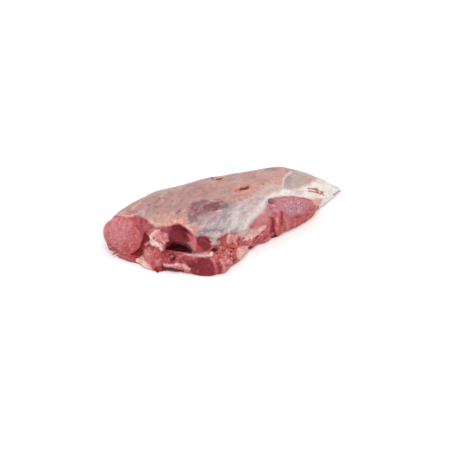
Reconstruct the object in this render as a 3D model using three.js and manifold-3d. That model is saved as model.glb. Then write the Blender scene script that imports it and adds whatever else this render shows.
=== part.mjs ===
// Whole beef top blade, raw and boneless: a wedge-shaped slab of shoulder meat, one solid.
// Millimetres, +Z up. +X runs from the cut end to the thin tail, -Y is the trimmed long side.
// The origin is the middle of the bounding box, on the surface that the meat lies on.
// One side of the cut end shows a round muscle, and the rest a stack of smaller muscles over a flap.
import * as THREE from 'three';
import { mergeVertices } from 'three/addons/utils/BufferGeometryUtils.js';
import Module from 'manifold-3d';

const wasm = await Module();
wasm.setup();

// Driving dimensions of the slab
const LENGTH = 408;
const CUT_END_X = -198;
const WAIST_Z = 17; // height of the widest line of a section
const TOP_POWER = 2.25; // superellipse power over the waist
const BASE_POWER = 3.6; // and under it, where the meat lies flat
const SINK = 3; // how far a section reaches under the surface before it is cut flat
const END_POWER = 7; // how blunt both ends are
const SECTIONS = 48;
const SECTION_SIDES = 44;

// The slab's edges and its height, each along the length
const STATIONS = [
  // x, y of the trimmed edge, y of the far edge, top z
  [-198, 44, 79, 58],
  [-182, 26, 87, 66],
  [-160, 2, 92, 71],
  [-140, -24, 95, 77],
  [-112, -50, 96, 83],
  [-80, -68, 94, 84],
  [-40, -61, 89, 82],
  [0, -52, 83, 78],
  [40, -47, 77, 73],
  [80, -42, 73, 68],
  [115, -38, 66, 60],
  [140, -31, 55, 50],
  [165, -23, 36, 35.5],
  [190, -13, 14, 18],
  [210, -6, 0, 8],
];
const KNOT_XS = STATIONS.map(([x]) => x);
const EDGES = new THREE.CubicInterpolant(
  KNOT_XS,
  STATIONS.flatMap(([, near, far, top]) => [near, far, top]),
  3,
);

// Slow swells of the surface, without any random draw
const SWELL = 2;
const SWELL_WAVE = 62;

/** A smooth uneven value between about -1 and 1 at a place. */
function swell(p, wave = SWELL_WAVE, shift = 0) {
  const k = (2 * Math.PI) / wave;
  const a = Math.sin(k * (p.x + 0.6 * p.y) + 1.3 + shift);
  const b = Math.sin(k * (1.31 * p.y - 0.4 * p.z) + 4.1 - shift);
  const c = Math.sin(k * (1.17 * p.z + 0.5 * p.x - 0.3 * p.y) + 2.2 + 2 * shift);
  return (a + b + c) / 3;
}

// Hollows and ridges of the skin side: a hollow has a negative rise
const RELIEF = [
  // over the dark muscle that shows through the skin
  { at: [-84, -8], reach: [30, 13], turn: 18, rise: -2.6 },
  { at: [-62, -38], reach: [26, 9], turn: 12, rise: -1.8 },
  // fat seam beside the thin window of skin, then the window
  { at: [90, 10], reach: [5, 30], turn: -28, rise: 1.8 },
  { at: [126, 6], reach: [26, 18], turn: -18, rise: -2.4 },
  // stab mark
  { at: [9, 6], reach: [7, 4], turn: 10, rise: -3.2 },
  // dips of the skin by the cut end
  { at: [-142, 26], reach: [18, 12], turn: 30, rise: -2.2 },
  { at: [-120, 58], reach: [26, 12], turn: 10, rise: 1.6 },
  { at: [-30, 26], reach: [34, 14], turn: 14, rise: 1.6 },
];

/** How far the hollows and ridges lift the skin side over a place in plan. */
function reliefAt(x, y) {
  return RELIEF.reduce((sum, { at, reach, turn, rise }) => {
    const local = new THREE.Vector2(x - at[0], y - at[1]);
    local.rotateAround(new THREE.Vector2(), -THREE.MathUtils.degToRad(turn));
    return sum + rise * Math.exp(-((local.x / reach[0]) ** 2) - (local.y / reach[1]) ** 2);
  }, 0);
}

/** Keeps the sign of a number and raises its size to a power. */
function signedPower(value, power) {
  return Math.sign(value) * Math.abs(value) ** power;
}

/** Moves every vertex of a closed three.js shape by a function, and makes it a solid. */
function solidOf(geometry, move) {
  const shape = geometry.clone();
  shape.deleteAttribute('normal');
  shape.deleteAttribute('uv');
  const merged = mergeVertices(shape, 1e-4);
  const place = merged.getAttribute('position');
  const p = new THREE.Vector3();
  for (let i = 0; i < place.count; i++) {
    p.fromBufferAttribute(place, i);
    move(p);
    place.setXYZ(i, p.x, p.y, p.z);
  }
  return new wasm.Manifold(new wasm.Mesh({
    numProp: 3,
    vertProperties: new Float32Array(place.array),
    triVerts: new Uint32Array(merged.index.array),
  }));
}

/** The slab: superellipse sections set along the length. */
function slab() {
  const ball = new THREE.SphereGeometry(1, SECTION_SIDES, SECTIONS).rotateZ(Math.PI / 2);
  return solidOf(ball, (p) => {
    const share = 1 - Math.acos(THREE.MathUtils.clamp(p.x, -1, 1)) / Math.PI;
    const x = CUT_END_X + LENGTH * share;
    const [near, far, top] = EDGES.evaluate(x);
    const round = Math.max(0, 1 - Math.abs(2 * share - 1) ** END_POWER) ** (1 / END_POWER);
    const turn = Math.atan2(p.z, p.y);
    const power = p.z > 0 ? TOP_POWER : BASE_POWER;
    const waist = Math.min(WAIST_Z, 0.42 * top);
    const halfWidth = (round * (far - near)) / 2;
    const halfHeight = round * (p.z > 0 ? top - waist : waist + SINK);
    const middle = (near + far) / 2;
    p.set(
      x,
      middle + halfWidth * signedPower(Math.cos(turn), 2 / power),
      waist + halfHeight * signedPower(Math.sin(turn), 2 / power),
    );
    const out = SWELL * swell(p) * round;
    p.y += out * Math.cos(turn);
    p.z += (out + reliefAt(p.x, p.y)) * Math.max(0, Math.sin(turn));
  });
}

/** A muscle, or the space of one: an uneven rounded block that is turned and placed. */
function lobe({ at, half, turn = 0, tilt = 0, roll = 0, power = 2.3, uneven = 1.4, sides = 18, seed = 0 }) {
  const rings = Math.round(sides * 0.7);
  const attitude = new THREE.Euler(
    THREE.MathUtils.degToRad(roll),
    THREE.MathUtils.degToRad(tilt),
    THREE.MathUtils.degToRad(turn),
    'ZYX',
  );
  return solidOf(new THREE.SphereGeometry(1, sides, rings), (p) => {
    const size = Math.abs(p.x) ** power + Math.abs(p.y) ** power + Math.abs(p.z) ** power;
    const outward = p.clone();
    p.multiplyScalar(size ** (-1 / power));
    p.set(p.x * half[0], p.y * half[1], p.z * half[2]);
    p.applyEuler(attitude).add(new THREE.Vector3(...at));
    outward.applyEuler(attitude);
    p.addScaledVector(outward, uneven * swell(p, 23, seed));
  });
}

// The round muscle on the far side of the cut end: a stub whose cut face is slightly crowned
const ROUND_MUSCLE = {
  face: [-190, 35, 32],
  facing: [-0.81, -0.58, 0.07],
  halfWidth: 38,
  halfHeight: 31,
  rim: 11,
  crown: 4,
  depth: 48,
  sides: 36,
};

/** The round muscle, turned on a lathe from its profile and set in the cut end. */
function roundMuscle() {
  const { face, facing, halfWidth, halfHeight, rim, crown, depth, sides } = ROUND_MUSCLE;
  const profile = new THREE.Path();
  profile.moveTo(0, -depth);
  profile.lineTo(halfWidth * 0.55, -depth);
  profile.lineTo(halfWidth, -rim);
  profile.absarc(halfWidth - rim, -rim, rim, 0, Math.PI / 2 - 0.25, false);
  profile.quadraticCurveTo((halfWidth - rim) * 0.55, crown, 0, crown);
  const points = profile.getPoints(6);
  points[0].x = 0;
  points[points.length - 1].x = 0;
  const stub = new THREE.LatheGeometry(points, sides).scale(1, 1, halfHeight / halfWidth);
  const axis = new THREE.Vector3(...facing).normalize();
  const across = new THREE.Vector3(0, 0, 1).cross(axis).normalize();
  const upright = across.clone().cross(axis);
  const frame = new THREE.Matrix4().makeBasis(across, axis, upright).setPosition(...face);
  return solidOf(stub, (p) => {
    p.applyMatrix4(frame);
    p.addScaledVector(axis, 1.3 * swell(p, 30, 0.7));
    p.z += 1.1 * swell(p, 41, 2.1);
  });
}

// The stack of the cut end is placed by the length along its foot, by how far it stands out, and by height
const FOOT_START = new THREE.Vector2(-176, 2);
const FOOT_END = new THREE.Vector2(-99, -89);
const ALONG_FOOT = FOOT_END.clone().sub(FOOT_START).normalize();
const OUT_OF_END = new THREE.Vector2(ALONG_FOOT.y, -ALONG_FOOT.x);
const FOOT_TURN = THREE.MathUtils.radToDeg(ALONG_FOOT.angle());

/** A place on the cut end, from the length along its foot, the distance out and the height. */
function onEnd(along, out, z) {
  const foot = FOOT_START.clone().addScaledVector(ALONG_FOOT, along).addScaledVector(OUT_OF_END, out);
  return [foot.x, foot.y, z];
}

/** A lobe of the cut end, square to its foot unless it is turned further. */
function endLobe({ along, out, z, turn = 0, ...rest }) {
  return lobe({ at: onEnd(along, out, z), turn: FOOT_TURN + turn, ...rest });
}

// What the knife took off the slab in front of the stack, then the spaces between its muscles
const KNIFE_CUTS = [
  { along: 72, out: 12, z: 42, half: [45, 34, 62], power: 4.5, sides: 26 },
  { along: 20, out: 10, z: 30, half: [24, 24, 24], power: 3.5 },
];
const SPACES = [
  { along: 50, out: -22, z: 47, half: [19, 9, 6], power: 2.4 },
  { along: 84, out: -21, z: 43, half: [15, 8, 4.5], power: 2.4, turn: 8 },
];

const STACK = [
  // pale-rimmed wedge beside the round muscle
  { along: 23, out: -16, z: 38, half: [16, 14, 15], power: 3, tilt: -12, uneven: 1.4 },
  // dark muscles set back under the edge of the skin
  { along: 49, out: -25, z: 41, half: [23, 14, 11.5], power: 2.8, tilt: 4, seed: 1 },
  { along: 69, out: -22, z: 37, half: [12, 12, 17], power: 2.6, seed: 2 },
  { along: 86, out: -21, z: 30, half: [20, 16, 18], power: 2.8, tilt: -8, seed: 3 },
];

// The flap leans back from its foot to its top edge
const FLAP_LEAN = -24;
const FLAP = [
  { along: 15, out: -5, z: 9, half: [19, 19, 19], power: 2.6, roll: FLAP_LEAN, seed: 1 },
  // small lump at its foot
  { along: 25, out: 8, z: 4, half: [9, 9, 7], power: 2.4, sides: 12, uneven: 1, seed: 3 },
  { along: 43, out: -4, z: 8, half: [18, 18, 16], power: 2.7, roll: FLAP_LEAN, seed: 4 },
  { along: 78, out: -11, z: 5, half: [35, 21, 17], power: 4, roll: FLAP_LEAN, seed: 2, sides: 26 },
  { along: 106, out: -14, z: 10, half: [19, 19, 18], power: 2.6, turn: 20, seed: 5 },
];

// Hollow behind the top edge of the flap, slit under the flap, and the small pit in its face
const UNDERCUTS = [
  { along: 52, out: -21, z: 23, half: [24, 16, 8.5], power: 2.6, sides: 20, seed: 2 },
  { along: 50, out: 14, z: -1, half: [15, 15, 4], power: 2.6, sides: 14 },
  { along: 46, out: 9, z: 20.5, half: [5, 6, 4.5], power: 2.2, sides: 10, uneven: 0.4 },
];

// Skirt of meat that lies out on the surface under the round muscle
const SKIRT = [
  { at: [-176, 24, 3], half: [34, 17, 8], turn: -60, power: 2.5, uneven: 1.8, seed: 3 },
];

const BESIDE_ROUND = [
  { at: [-146, 15, 43], half: [27, 19, 19], turn: -44, power: 2.8, seed: 6 },
];

const SIDE = [
  // long red muscle of the trimmed side
  { at: [74, -32, 23], half: [54, 21, 30], turn: 9, tilt: 7, sides: 30, power: 2.7, uneven: 1.8, seed: 1 },
  { at: [30, -44, 20], half: [15, 14, 28], turn: 4, power: 2.5, uneven: 1.6, seed: 5 },
  { at: [6, -46, 24], half: [25, 14, 29], turn: 16, power: 2.5, uneven: 1.6, seed: 2 },
  // ragged lower edge between the flap and the long muscle
  { at: [-28, -48, 12], half: [40, 15, 17], turn: 16, power: 2.6, uneven: 2, seed: 3 },
  { at: [-70, -64, 13], half: [30, 16, 19], turn: 10, power: 2.5, uneven: 2, seed: 4 },
];

/** What lies under the surface that the meat rests on. */
function floorBlock() {
  const depth = 60;
  const block = new THREE.BoxGeometry(3 * LENGTH, 3 * LENGTH, depth).translate(0, 0, -depth / 2);
  return solidOf(block, () => {});
}

/** Joins solids into one. */
function joined(first, ...others) {
  return others.reduce((whole, other) => whole.add(other), first);
}

let meat = slab();
for (const cut of [...KNIFE_CUTS, ...SPACES]) meat = meat.subtract(endLobe(cut));
meat = joined(
  meat,
  roundMuscle(),
  ...[...STACK, ...FLAP].map(endLobe),
  ...[...SKIRT, ...BESIDE_ROUND, ...SIDE].map(lobe),
);
for (const cut of UNDERCUTS) meat = meat.subtract(endLobe(cut));
meat = meat.subtract(floorBlock());

/** A solid's faces as a three.js geometry. */
function geometryOf(solid) {
  const { numProp, numVert, vertProperties, triVerts } = solid.getMesh();
  const place = new Float32Array(numVert * 3);
  for (let i = 0; i < numVert; i++) {
    place.set(vertProperties.subarray(i * numProp, i * numProp + 3), i * 3);
  }
  const geometry = new THREE.BufferGeometry();
  geometry.setAttribute('position', new THREE.BufferAttribute(place, 3));
  geometry.setIndex(new THREE.BufferAttribute(new Uint32Array(triVerts), 1));
  geometry.computeVertexNormals();
  return geometry;
}

const rawMeat = new THREE.MeshStandardMaterial({ color: 0xb98a86, roughness: 0.45, metalness: 0 });
const blade = new THREE.Mesh(geometryOf(meat), rawMeat);
blade.name = 'top_blade';

// The sizes above are laid out from the middle of the slab, and the origin is under the middle of the whole
blade.geometry.computeBoundingBox();
const middle = blade.geometry.boundingBox.getCenter(new THREE.Vector3());
blade.geometry.translate(-middle.x, -middle.y, 0);

const part = new THREE.Group();
part.add(blade);
export default part;
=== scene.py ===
"""Dresses a whole raw beef top blade: skin, bare muscle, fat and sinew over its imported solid."""
import logging
import math
import random
from dataclasses import dataclass, field
from enum import Enum

import bmesh
import bpy
import numpy as np
from mathutils import Matrix, Vector, noise
from mathutils.bvhtree import BVHTree


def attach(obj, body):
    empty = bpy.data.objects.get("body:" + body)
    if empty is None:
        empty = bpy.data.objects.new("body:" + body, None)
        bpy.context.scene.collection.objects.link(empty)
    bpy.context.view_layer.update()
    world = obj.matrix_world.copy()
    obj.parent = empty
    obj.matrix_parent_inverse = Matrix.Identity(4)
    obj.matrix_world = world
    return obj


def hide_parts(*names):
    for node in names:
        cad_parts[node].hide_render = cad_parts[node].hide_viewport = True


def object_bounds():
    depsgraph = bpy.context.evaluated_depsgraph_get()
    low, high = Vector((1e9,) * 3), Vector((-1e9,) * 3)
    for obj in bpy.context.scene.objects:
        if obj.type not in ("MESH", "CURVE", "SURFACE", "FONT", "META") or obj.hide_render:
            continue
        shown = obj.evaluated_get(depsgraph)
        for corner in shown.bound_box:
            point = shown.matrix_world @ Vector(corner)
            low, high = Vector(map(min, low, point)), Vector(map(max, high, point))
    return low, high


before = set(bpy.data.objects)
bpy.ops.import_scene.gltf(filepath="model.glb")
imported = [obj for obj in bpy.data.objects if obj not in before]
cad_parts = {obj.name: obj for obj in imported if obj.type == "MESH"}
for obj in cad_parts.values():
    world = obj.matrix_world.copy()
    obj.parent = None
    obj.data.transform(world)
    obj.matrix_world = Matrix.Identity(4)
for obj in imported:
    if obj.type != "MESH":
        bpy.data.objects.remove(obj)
CAD_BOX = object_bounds()

LOG = logging.getLogger("top_blade")
MM = 0.001
NODE = "top_blade"
BODY = "root"

Pixel = tuple[float, float]
Place = tuple[float, float, float]
Waves = tuple[tuple[float, float], ...]    # the height and the length of each, in millimetres


def linear(code: str) -> tuple[float, float, float, float]:
    """Turns a display colour into the linear light that a shader takes.

    Args:
        code: an sRGB colour as six hex digits.

    Returns:
        Linear red, green and blue, with an alpha of 1.
    """
    channels = [int(code[i:i + 2], 16) / 255 for i in (0, 2, 4)]
    return (*[c / 12.92 if c <= 0.04045 else ((c + 0.055) / 1.055) ** 2.4 for c in channels], 1.0)


def smoothstep(low: float, high: float, value: np.ndarray) -> np.ndarray:
    """Eases from 0 below one value to 1 above another.

    Args:
        low: where the result is still 0.
        high: where it has become 1.
        value: the numbers to ease.

    Returns:
        An array of the same shape, between 0 and 1.
    """
    share = np.clip((value - low) / (high - low), 0.0, 1.0)
    return share * share * (3.0 - 2.0 * share)


class Tissue(Enum):
    """What a patch of the surface is made of, each over the ones before, with its attribute's name; two of
    them also carry painted shade and painted glints.
    """

    THIN = "thin"          # grey-pink skin that is nearly clear
    SHOWING = "showing"    # dark muscle that shows through the skin
    WARM = "warm"          # thin tan fat under the skin
    SILVER = "silver"      # thick silverskin, white with a blue cast
    BLUE = "blue"          # blue-grey veins and muscle under the silverskin
    CUT = "cut"            # bare muscle, where the skin was trimmed or the knife went through
    RED = "red"            # brighter red muscle, wet with blood
    PALE = "pale"          # muscle under a dry film, paler and pinker
    DEEP_AND_SHADE = "deep_and_shade"          # darker muscle away from the air, and painted shade in gaps, pits, creases and under overhangs
    RAGGED = "ragged"      # torn meat, with a rough form
    FROST_AND_GLINTS = "frost_and_glints"        # muscle strewn with fine white specks, partly flecks of fat and partly painted glints of wet light
    FAT = "fat"            # soft pale pink fat
    STAINED = "stained"    # fat stained pink by blood
    WAX = "wax"            # hard waxy fat, nearly white
    BLOOD = "blood"        # blood and stab marks


(THIN, SHOWING, WARM, SILVER, BLUE, CUT, RED, PALE, DEEP_AND_SHADE, RAGGED, FROST_AND_GLINTS, FAT, STAINED, WAX, BLOOD) = Tissue
LAYERS = list(Tissue)      # from the lowest to the one over all others


@dataclass(frozen=True)
class PhotoCamera:
    """The photograph's point of view, fitted to the outline of the meat."""

    azimuth: float = -36.0
    elevation: float = 31.0
    distance: float = 1400 * MM
    pixel: float = 1.52 * MM          # what a pixel covers at that distance
    aim: Place = (-46.37 * MM, -15.39 * MM, 33 * MM)
    aim_pixel: Pixel = (222, 222)
    side: int = 452                   # pixels along a side of the photograph
    sensor: float = 36.0              # the sensor's width in millimetres
    clip: tuple[float, float] = (0.05, 30.0)   # nearest and farthest thing that shows, in metres

    def axes(self) -> tuple[Vector, Vector, Vector]:
        """Returns the camera's right, up and backward directions."""
        a, e = math.radians(self.azimuth), math.radians(self.elevation)
        back = Vector((math.sin(a) * math.cos(e), -math.cos(a) * math.cos(e), math.sin(e)))
        right = Vector((math.cos(a), math.sin(a), 0.0))
        return right, back.cross(right), back

    def eye(self) -> Vector:
        """Returns where the camera stands."""
        right, up, back = self.axes()
        across = (self.aim_pixel[0] - self.side / 2) * self.pixel
        down = (self.aim_pixel[1] - self.side / 2) * self.pixel
        return Vector(self.aim) + back * self.distance - right * across + up * down

    def focal(self) -> float:
        """Returns the focal length in pixels."""
        return self.distance / self.pixel

    def ray(self, pixel: Pixel) -> Vector:
        """Finds the way in which a pixel of the photograph looks.

        Args:
            pixel: its place across and down the photograph.

        Returns:
            A direction of length 1.
        """
        right, up, back = self.axes()
        across = (pixel[0] - self.side / 2) / self.focal()
        down = (pixel[1] - self.side / 2) / self.focal()
        return (right * across - up * down - back).normalized()

    def project(self, places: np.ndarray) -> tuple[np.ndarray, np.ndarray]:
        """Finds where places fall in the photograph.

        Args:
            places: one place a row, in metres.

        Returns:
            Their pixel coordinates, one pair a row, and the width that a pixel covers there.
        """
        right, up, back = (np.array(axis) for axis in self.axes())
        offset = places - np.array(self.eye())
        depth = -(offset @ back)
        x = self.side / 2 + self.focal() * (offset @ right) / depth
        y = self.side / 2 - self.focal() * (offset @ up) / depth
        return np.stack([x, y], axis=1), depth / self.focal()

    def make(self) -> None:
        """Adds the camera to the scene and makes it the scene's own."""
        data = bpy.data.cameras.new("photo_camera")
        data.sensor_width = self.sensor
        data.lens = self.focal() * self.sensor / self.side
        data.clip_start, data.clip_end = self.clip
        camera = bpy.data.objects.new("photo_camera", data)
        turn = Matrix(self.axes()).transposed().to_4x4()
        camera.matrix_world = Matrix.Translation(self.eye()) @ turn
        bpy.context.scene.collection.objects.link(camera)
        bpy.context.scene.camera = camera


@dataclass(frozen=True)
class Mark:
    """A patch of one tissue, laid out by pixels of the photograph."""

    tissue: Tissue
    pixels: tuple[Pixel, ...]
    amount: float = 1.0      # how much of the tissue there is then
    reach: float = 0.0       # millimetres past the outline
    soft: float = 4.0        # millimetres over which the edge fades
    ragged: float = 2.0      # millimetres that the edge wanders
    wave: float = 8.0        # millimetres from one bay of the edge to the next
    rise: float = 0.0        # millimetres that the surface rises
    closed: bool = True      # whether the pixels enclose an area

    def marks(self) -> list["Mark"]:
        """Returns itself alone, as strewn flecks return theirs."""
        return [self]


@dataclass(frozen=True)
class Stroke(Mark):
    """A line of one tissue along pixels of the photograph, as wide as twice its reach."""

    ragged: float = 1.5
    closed: bool = False


def distance_to_edges(points: np.ndarray, corners: tuple[Pixel, ...], closed: bool) -> np.ndarray:
    """Measures how far points are from an outline or a line.

    Args:
        points: one pair of coordinates a row.
        corners: the corners in order.
        closed: whether the last corner joins the first.

    Returns:
        The distance of each point, negative inside a closed outline.
    """
    tiny = 1e-9
    nearest = np.full(len(points), np.inf)
    inside = np.zeros(len(points), bool)
    ends = corners[1:] + corners[:1] if closed else corners[1:]
    for start, end in zip(corners, ends):
        a, b = np.array(start, float), np.array(end, float)
        along = b - a
        share = np.clip(((points - a) @ along) / max(along @ along, tiny), 0.0, 1.0)
        gap = points - a - share[:, None] * along
        nearest = np.minimum(nearest, np.hypot(gap[:, 0], gap[:, 1]))
        if closed:
            crosses = (points[:, 1] < a[1]) != (points[:, 1] < b[1])
            rise = along[1] or tiny
            inside ^= crosses & (points[:, 0] < a[0] + (points[:, 1] - a[1]) * along[0] / rise)
    return np.where(inside, -nearest, nearest)


class Surface:
    """The vertices of the meat, with what is known of each: its place, its pixel and its tissues."""

    seen_rounds: int = 3            # rounds of evening at the limit of what the photograph sees
    noise_reach: float = 1.4        # brings the noise to between about -1 and 1
    noise_shift: float = 17.3       # how far apart two patterns of one size are cut from the noise

    def __init__(self, mesh: bpy.types.Mesh, camera: PhotoCamera, hidden_depth: float) -> None:
        """Reads a mesh and finds what the photograph sees of it.

        Args:
            mesh: the finished form of the meat.
            camera: the photograph's point of view.
            hidden_depth: how far behind the seen surface a mark of the photograph still holds.
        """
        count = len(mesh.vertices)
        self.places = self.read(mesh.vertices, "co", count)
        self.normals = self.read(mesh.vertex_normals, "vector", count)
        links = np.zeros(len(mesh.edges) * 2, np.int32)
        mesh.edges.foreach_get("vertices", links)
        self.links = links.reshape(-1, 2)
        self.pixels, self.pixel_size = camera.project(self.places)
        self.seen = self.find_seen(mesh, camera, hidden_depth)
        self.tissues = {tissue: np.zeros(count) for tissue in Tissue}
        self.rise = np.zeros(count)
        self.noises: dict[tuple[float, int], np.ndarray] = {}

    @staticmethod
    def read(items: bpy.types.bpy_prop_collection, name: str, count: int) -> np.ndarray:
        """Reads a vector of each vertex.

        Args:
            items: the mesh's vertices, or their normals.
            name: the vector's name there.
            count: how many vertices there are.

        Returns:
            One vector a row.
        """
        flat = np.zeros(count * 3, np.float32)
        items.foreach_get(name, flat)
        return flat.reshape(-1, 3).astype(float)

    def find_seen(self, mesh: bpy.types.Mesh, camera: PhotoCamera, hidden_depth: float) -> np.ndarray:
        """Measures how much of the photograph's marks each vertex takes.

        Args:
            mesh: the form whose vertices may hide each other.
            camera: the photograph's point of view.
            hidden_depth: how far behind the seen surface the marks fade out.

        Returns:
            1 for a vertex at or near the seen surface, and 0 far behind it.
        """
        form = bmesh.new()
        form.from_mesh(mesh)
        tree = BVHTree.FromBMesh(form)
        form.free()
        eye = camera.eye()
        behind = np.zeros(len(self.places))
        for index, place in enumerate(self.places):
            way = Vector(place) - eye
            hit = tree.ray_cast(eye, way.normalized())[3]
            behind[index] = way.length - hit if hit else 0.0
        near = 1.0 - smoothstep(0.5 * hidden_depth, hidden_depth, behind)
        return self.spread(near, self.seen_rounds)

    def spread(self, values: np.ndarray, times: int) -> np.ndarray:
        """Evens out a value over the neighbours of each vertex.

        Args:
            values: one value or one row for each vertex.
            times: how often a vertex takes the mean of itself and its neighbours.

        Returns:
            The evened values.
        """
        count = len(self.places)
        a, b = self.links[:, 0], self.links[:, 1]
        degree = np.bincount(a, minlength=count) + np.bincount(b, minlength=count)
        rows = values.reshape(count, -1)
        for _ in range(times):
            columns = []
            for column in rows.T:
                total = np.bincount(a, column[b], count) + np.bincount(b, column[a], count)
                columns.append(0.5 * column + 0.5 * total / np.maximum(degree, 1))
            rows = np.stack(columns, axis=1)
        return rows.reshape(values.shape)

    def wander(self, wave: float, seed: int = 0) -> np.ndarray:
        """Gives each vertex a smooth uneven value.

        Args:
            wave: millimetres from one crest to the next.
            seed: which pattern of that size.

        Returns:
            Values between about -1 and 1.
        """
        if (wave, seed) not in self.noises:
            scaled = (self.places / (wave * MM) + self.noise_shift * seed).tolist()
            self.noises[wave, seed] = np.array([noise.noise(place) for place in scaled]) * self.noise_reach
        return self.noises[wave, seed]

    def uneven(self, waves: Waves, seed: int = 0) -> np.ndarray:
        """Adds up waves of several sizes.

        Args:
            waves: the height and the length of each, in millimetres.
            seed: which pattern of each size.

        Returns:
            The height of each vertex in millimetres.
        """
        return sum(height * self.wander(wave, seed) for height, wave in waves)

    def paint(self, mark: Mark) -> None:
        """Lays a mark over whatever tissue is there already, and raises the surface with it.

        Args:
            mark: the patch or line to lay.
        """
        corners = np.array(mark.pixels)
        margin = (mark.reach + mark.soft + 2 * mark.ragged) * MM / self.pixel_size.min()
        near = np.flatnonzero(
            (self.pixels > corners.min(axis=0) - margin).all(axis=1)
            & (self.pixels < corners.max(axis=0) + margin).all(axis=1)
        )
        gap = distance_to_edges(self.pixels[near], mark.pixels, mark.closed)
        gap *= self.pixel_size[near] / MM
        gap += mark.ragged * self.wander(mark.wave)[near] - mark.reach
        weight = (1.0 - smoothstep(-mark.soft / 2, mark.soft / 2, gap)) * self.seen[near]
        own = self.tissues[mark.tissue]
        own[near] += (mark.amount - own[near]) * weight
        for above in LAYERS[LAYERS.index(mark.tissue) + 1:]:
            self.tissues[above][near] *= 1.0 - mark.amount * weight
        self.rise[near] += mark.rise * weight

    def move(self, offsets: np.ndarray) -> None:
        """Moves the vertices along their normals by millimetres."""
        self.places += self.normals * (offsets * MM)[:, None]

    def hollow(self, times: int, depth: float) -> np.ndarray:
        """Measures how far each vertex lies in a hollow.

        Args:
            times: how many neighbours away the surroundings reach.
            depth: millimetres under the surroundings that count as fully hollow.

        Returns:
            Values from -1 on a ridge to 1 in a hollow.
        """
        around = self.spread(self.places, times) - self.places
        return np.clip((around * self.normals).sum(axis=1) / (depth * MM), -1.0, 1.0)


@dataclass(frozen=True)
class Flecks:
    """Many short marks of one tissue, strewn over an area of the photograph."""

    tissue: Tissue
    area: tuple[Pixel, ...]
    count: int
    length: tuple[float, float] = (1.0, 3.0)   # shortest and longest, in pixels
    slant: float = 20.0                        # degrees above the photograph's horizontal
    spread: float = 25.0                       # degrees either way
    reach: tuple[float, float] = (0.5, 1.2)    # half widths in millimetres
    soft: float = 2.0
    amount: tuple[float, float] = (0.3, 0.7)
    rise: float = 0.0
    seed: int = 1
    bow: float = 0.25                          # how far the middle leaves the straight, against the length
    ragged: float = 0.6
    wave: float = 4.0

    def marks(self) -> list[Mark]:
        """Returns the marks, the same ones each time."""
        draw = random.Random(self.seed)
        left, right = (f(x for x, _ in self.area) for f in (min, max))
        top, bottom = (f(y for _, y in self.area) for f in (min, max))
        marks: list[Mark] = []
        while len(marks) < self.count:
            x, y = draw.uniform(left, right), draw.uniform(top, bottom)
            if distance_to_edges(np.array([[x, y]]), self.area, True)[0] > 0:
                continue
            half = draw.uniform(*self.length) / 2
            turn = math.radians(self.slant + draw.uniform(-self.spread, self.spread))
            dx, dy = half * math.cos(turn), -half * math.sin(turn)
            bow = draw.uniform(-self.bow, self.bow)
            middle = (x + bow * dy, y - bow * dx)
            reach, amount = draw.uniform(*self.reach), draw.uniform(*self.amount)
            marks.append(Stroke(self.tissue, ((x - dx, y - dy), middle, (x + dx, y + dy)), amount, reach,
                                self.soft, self.ragged, self.wave, self.rise))
        return marks


Marks = list[Mark | Flecks]      # what a region of the surface is painted from


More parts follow.
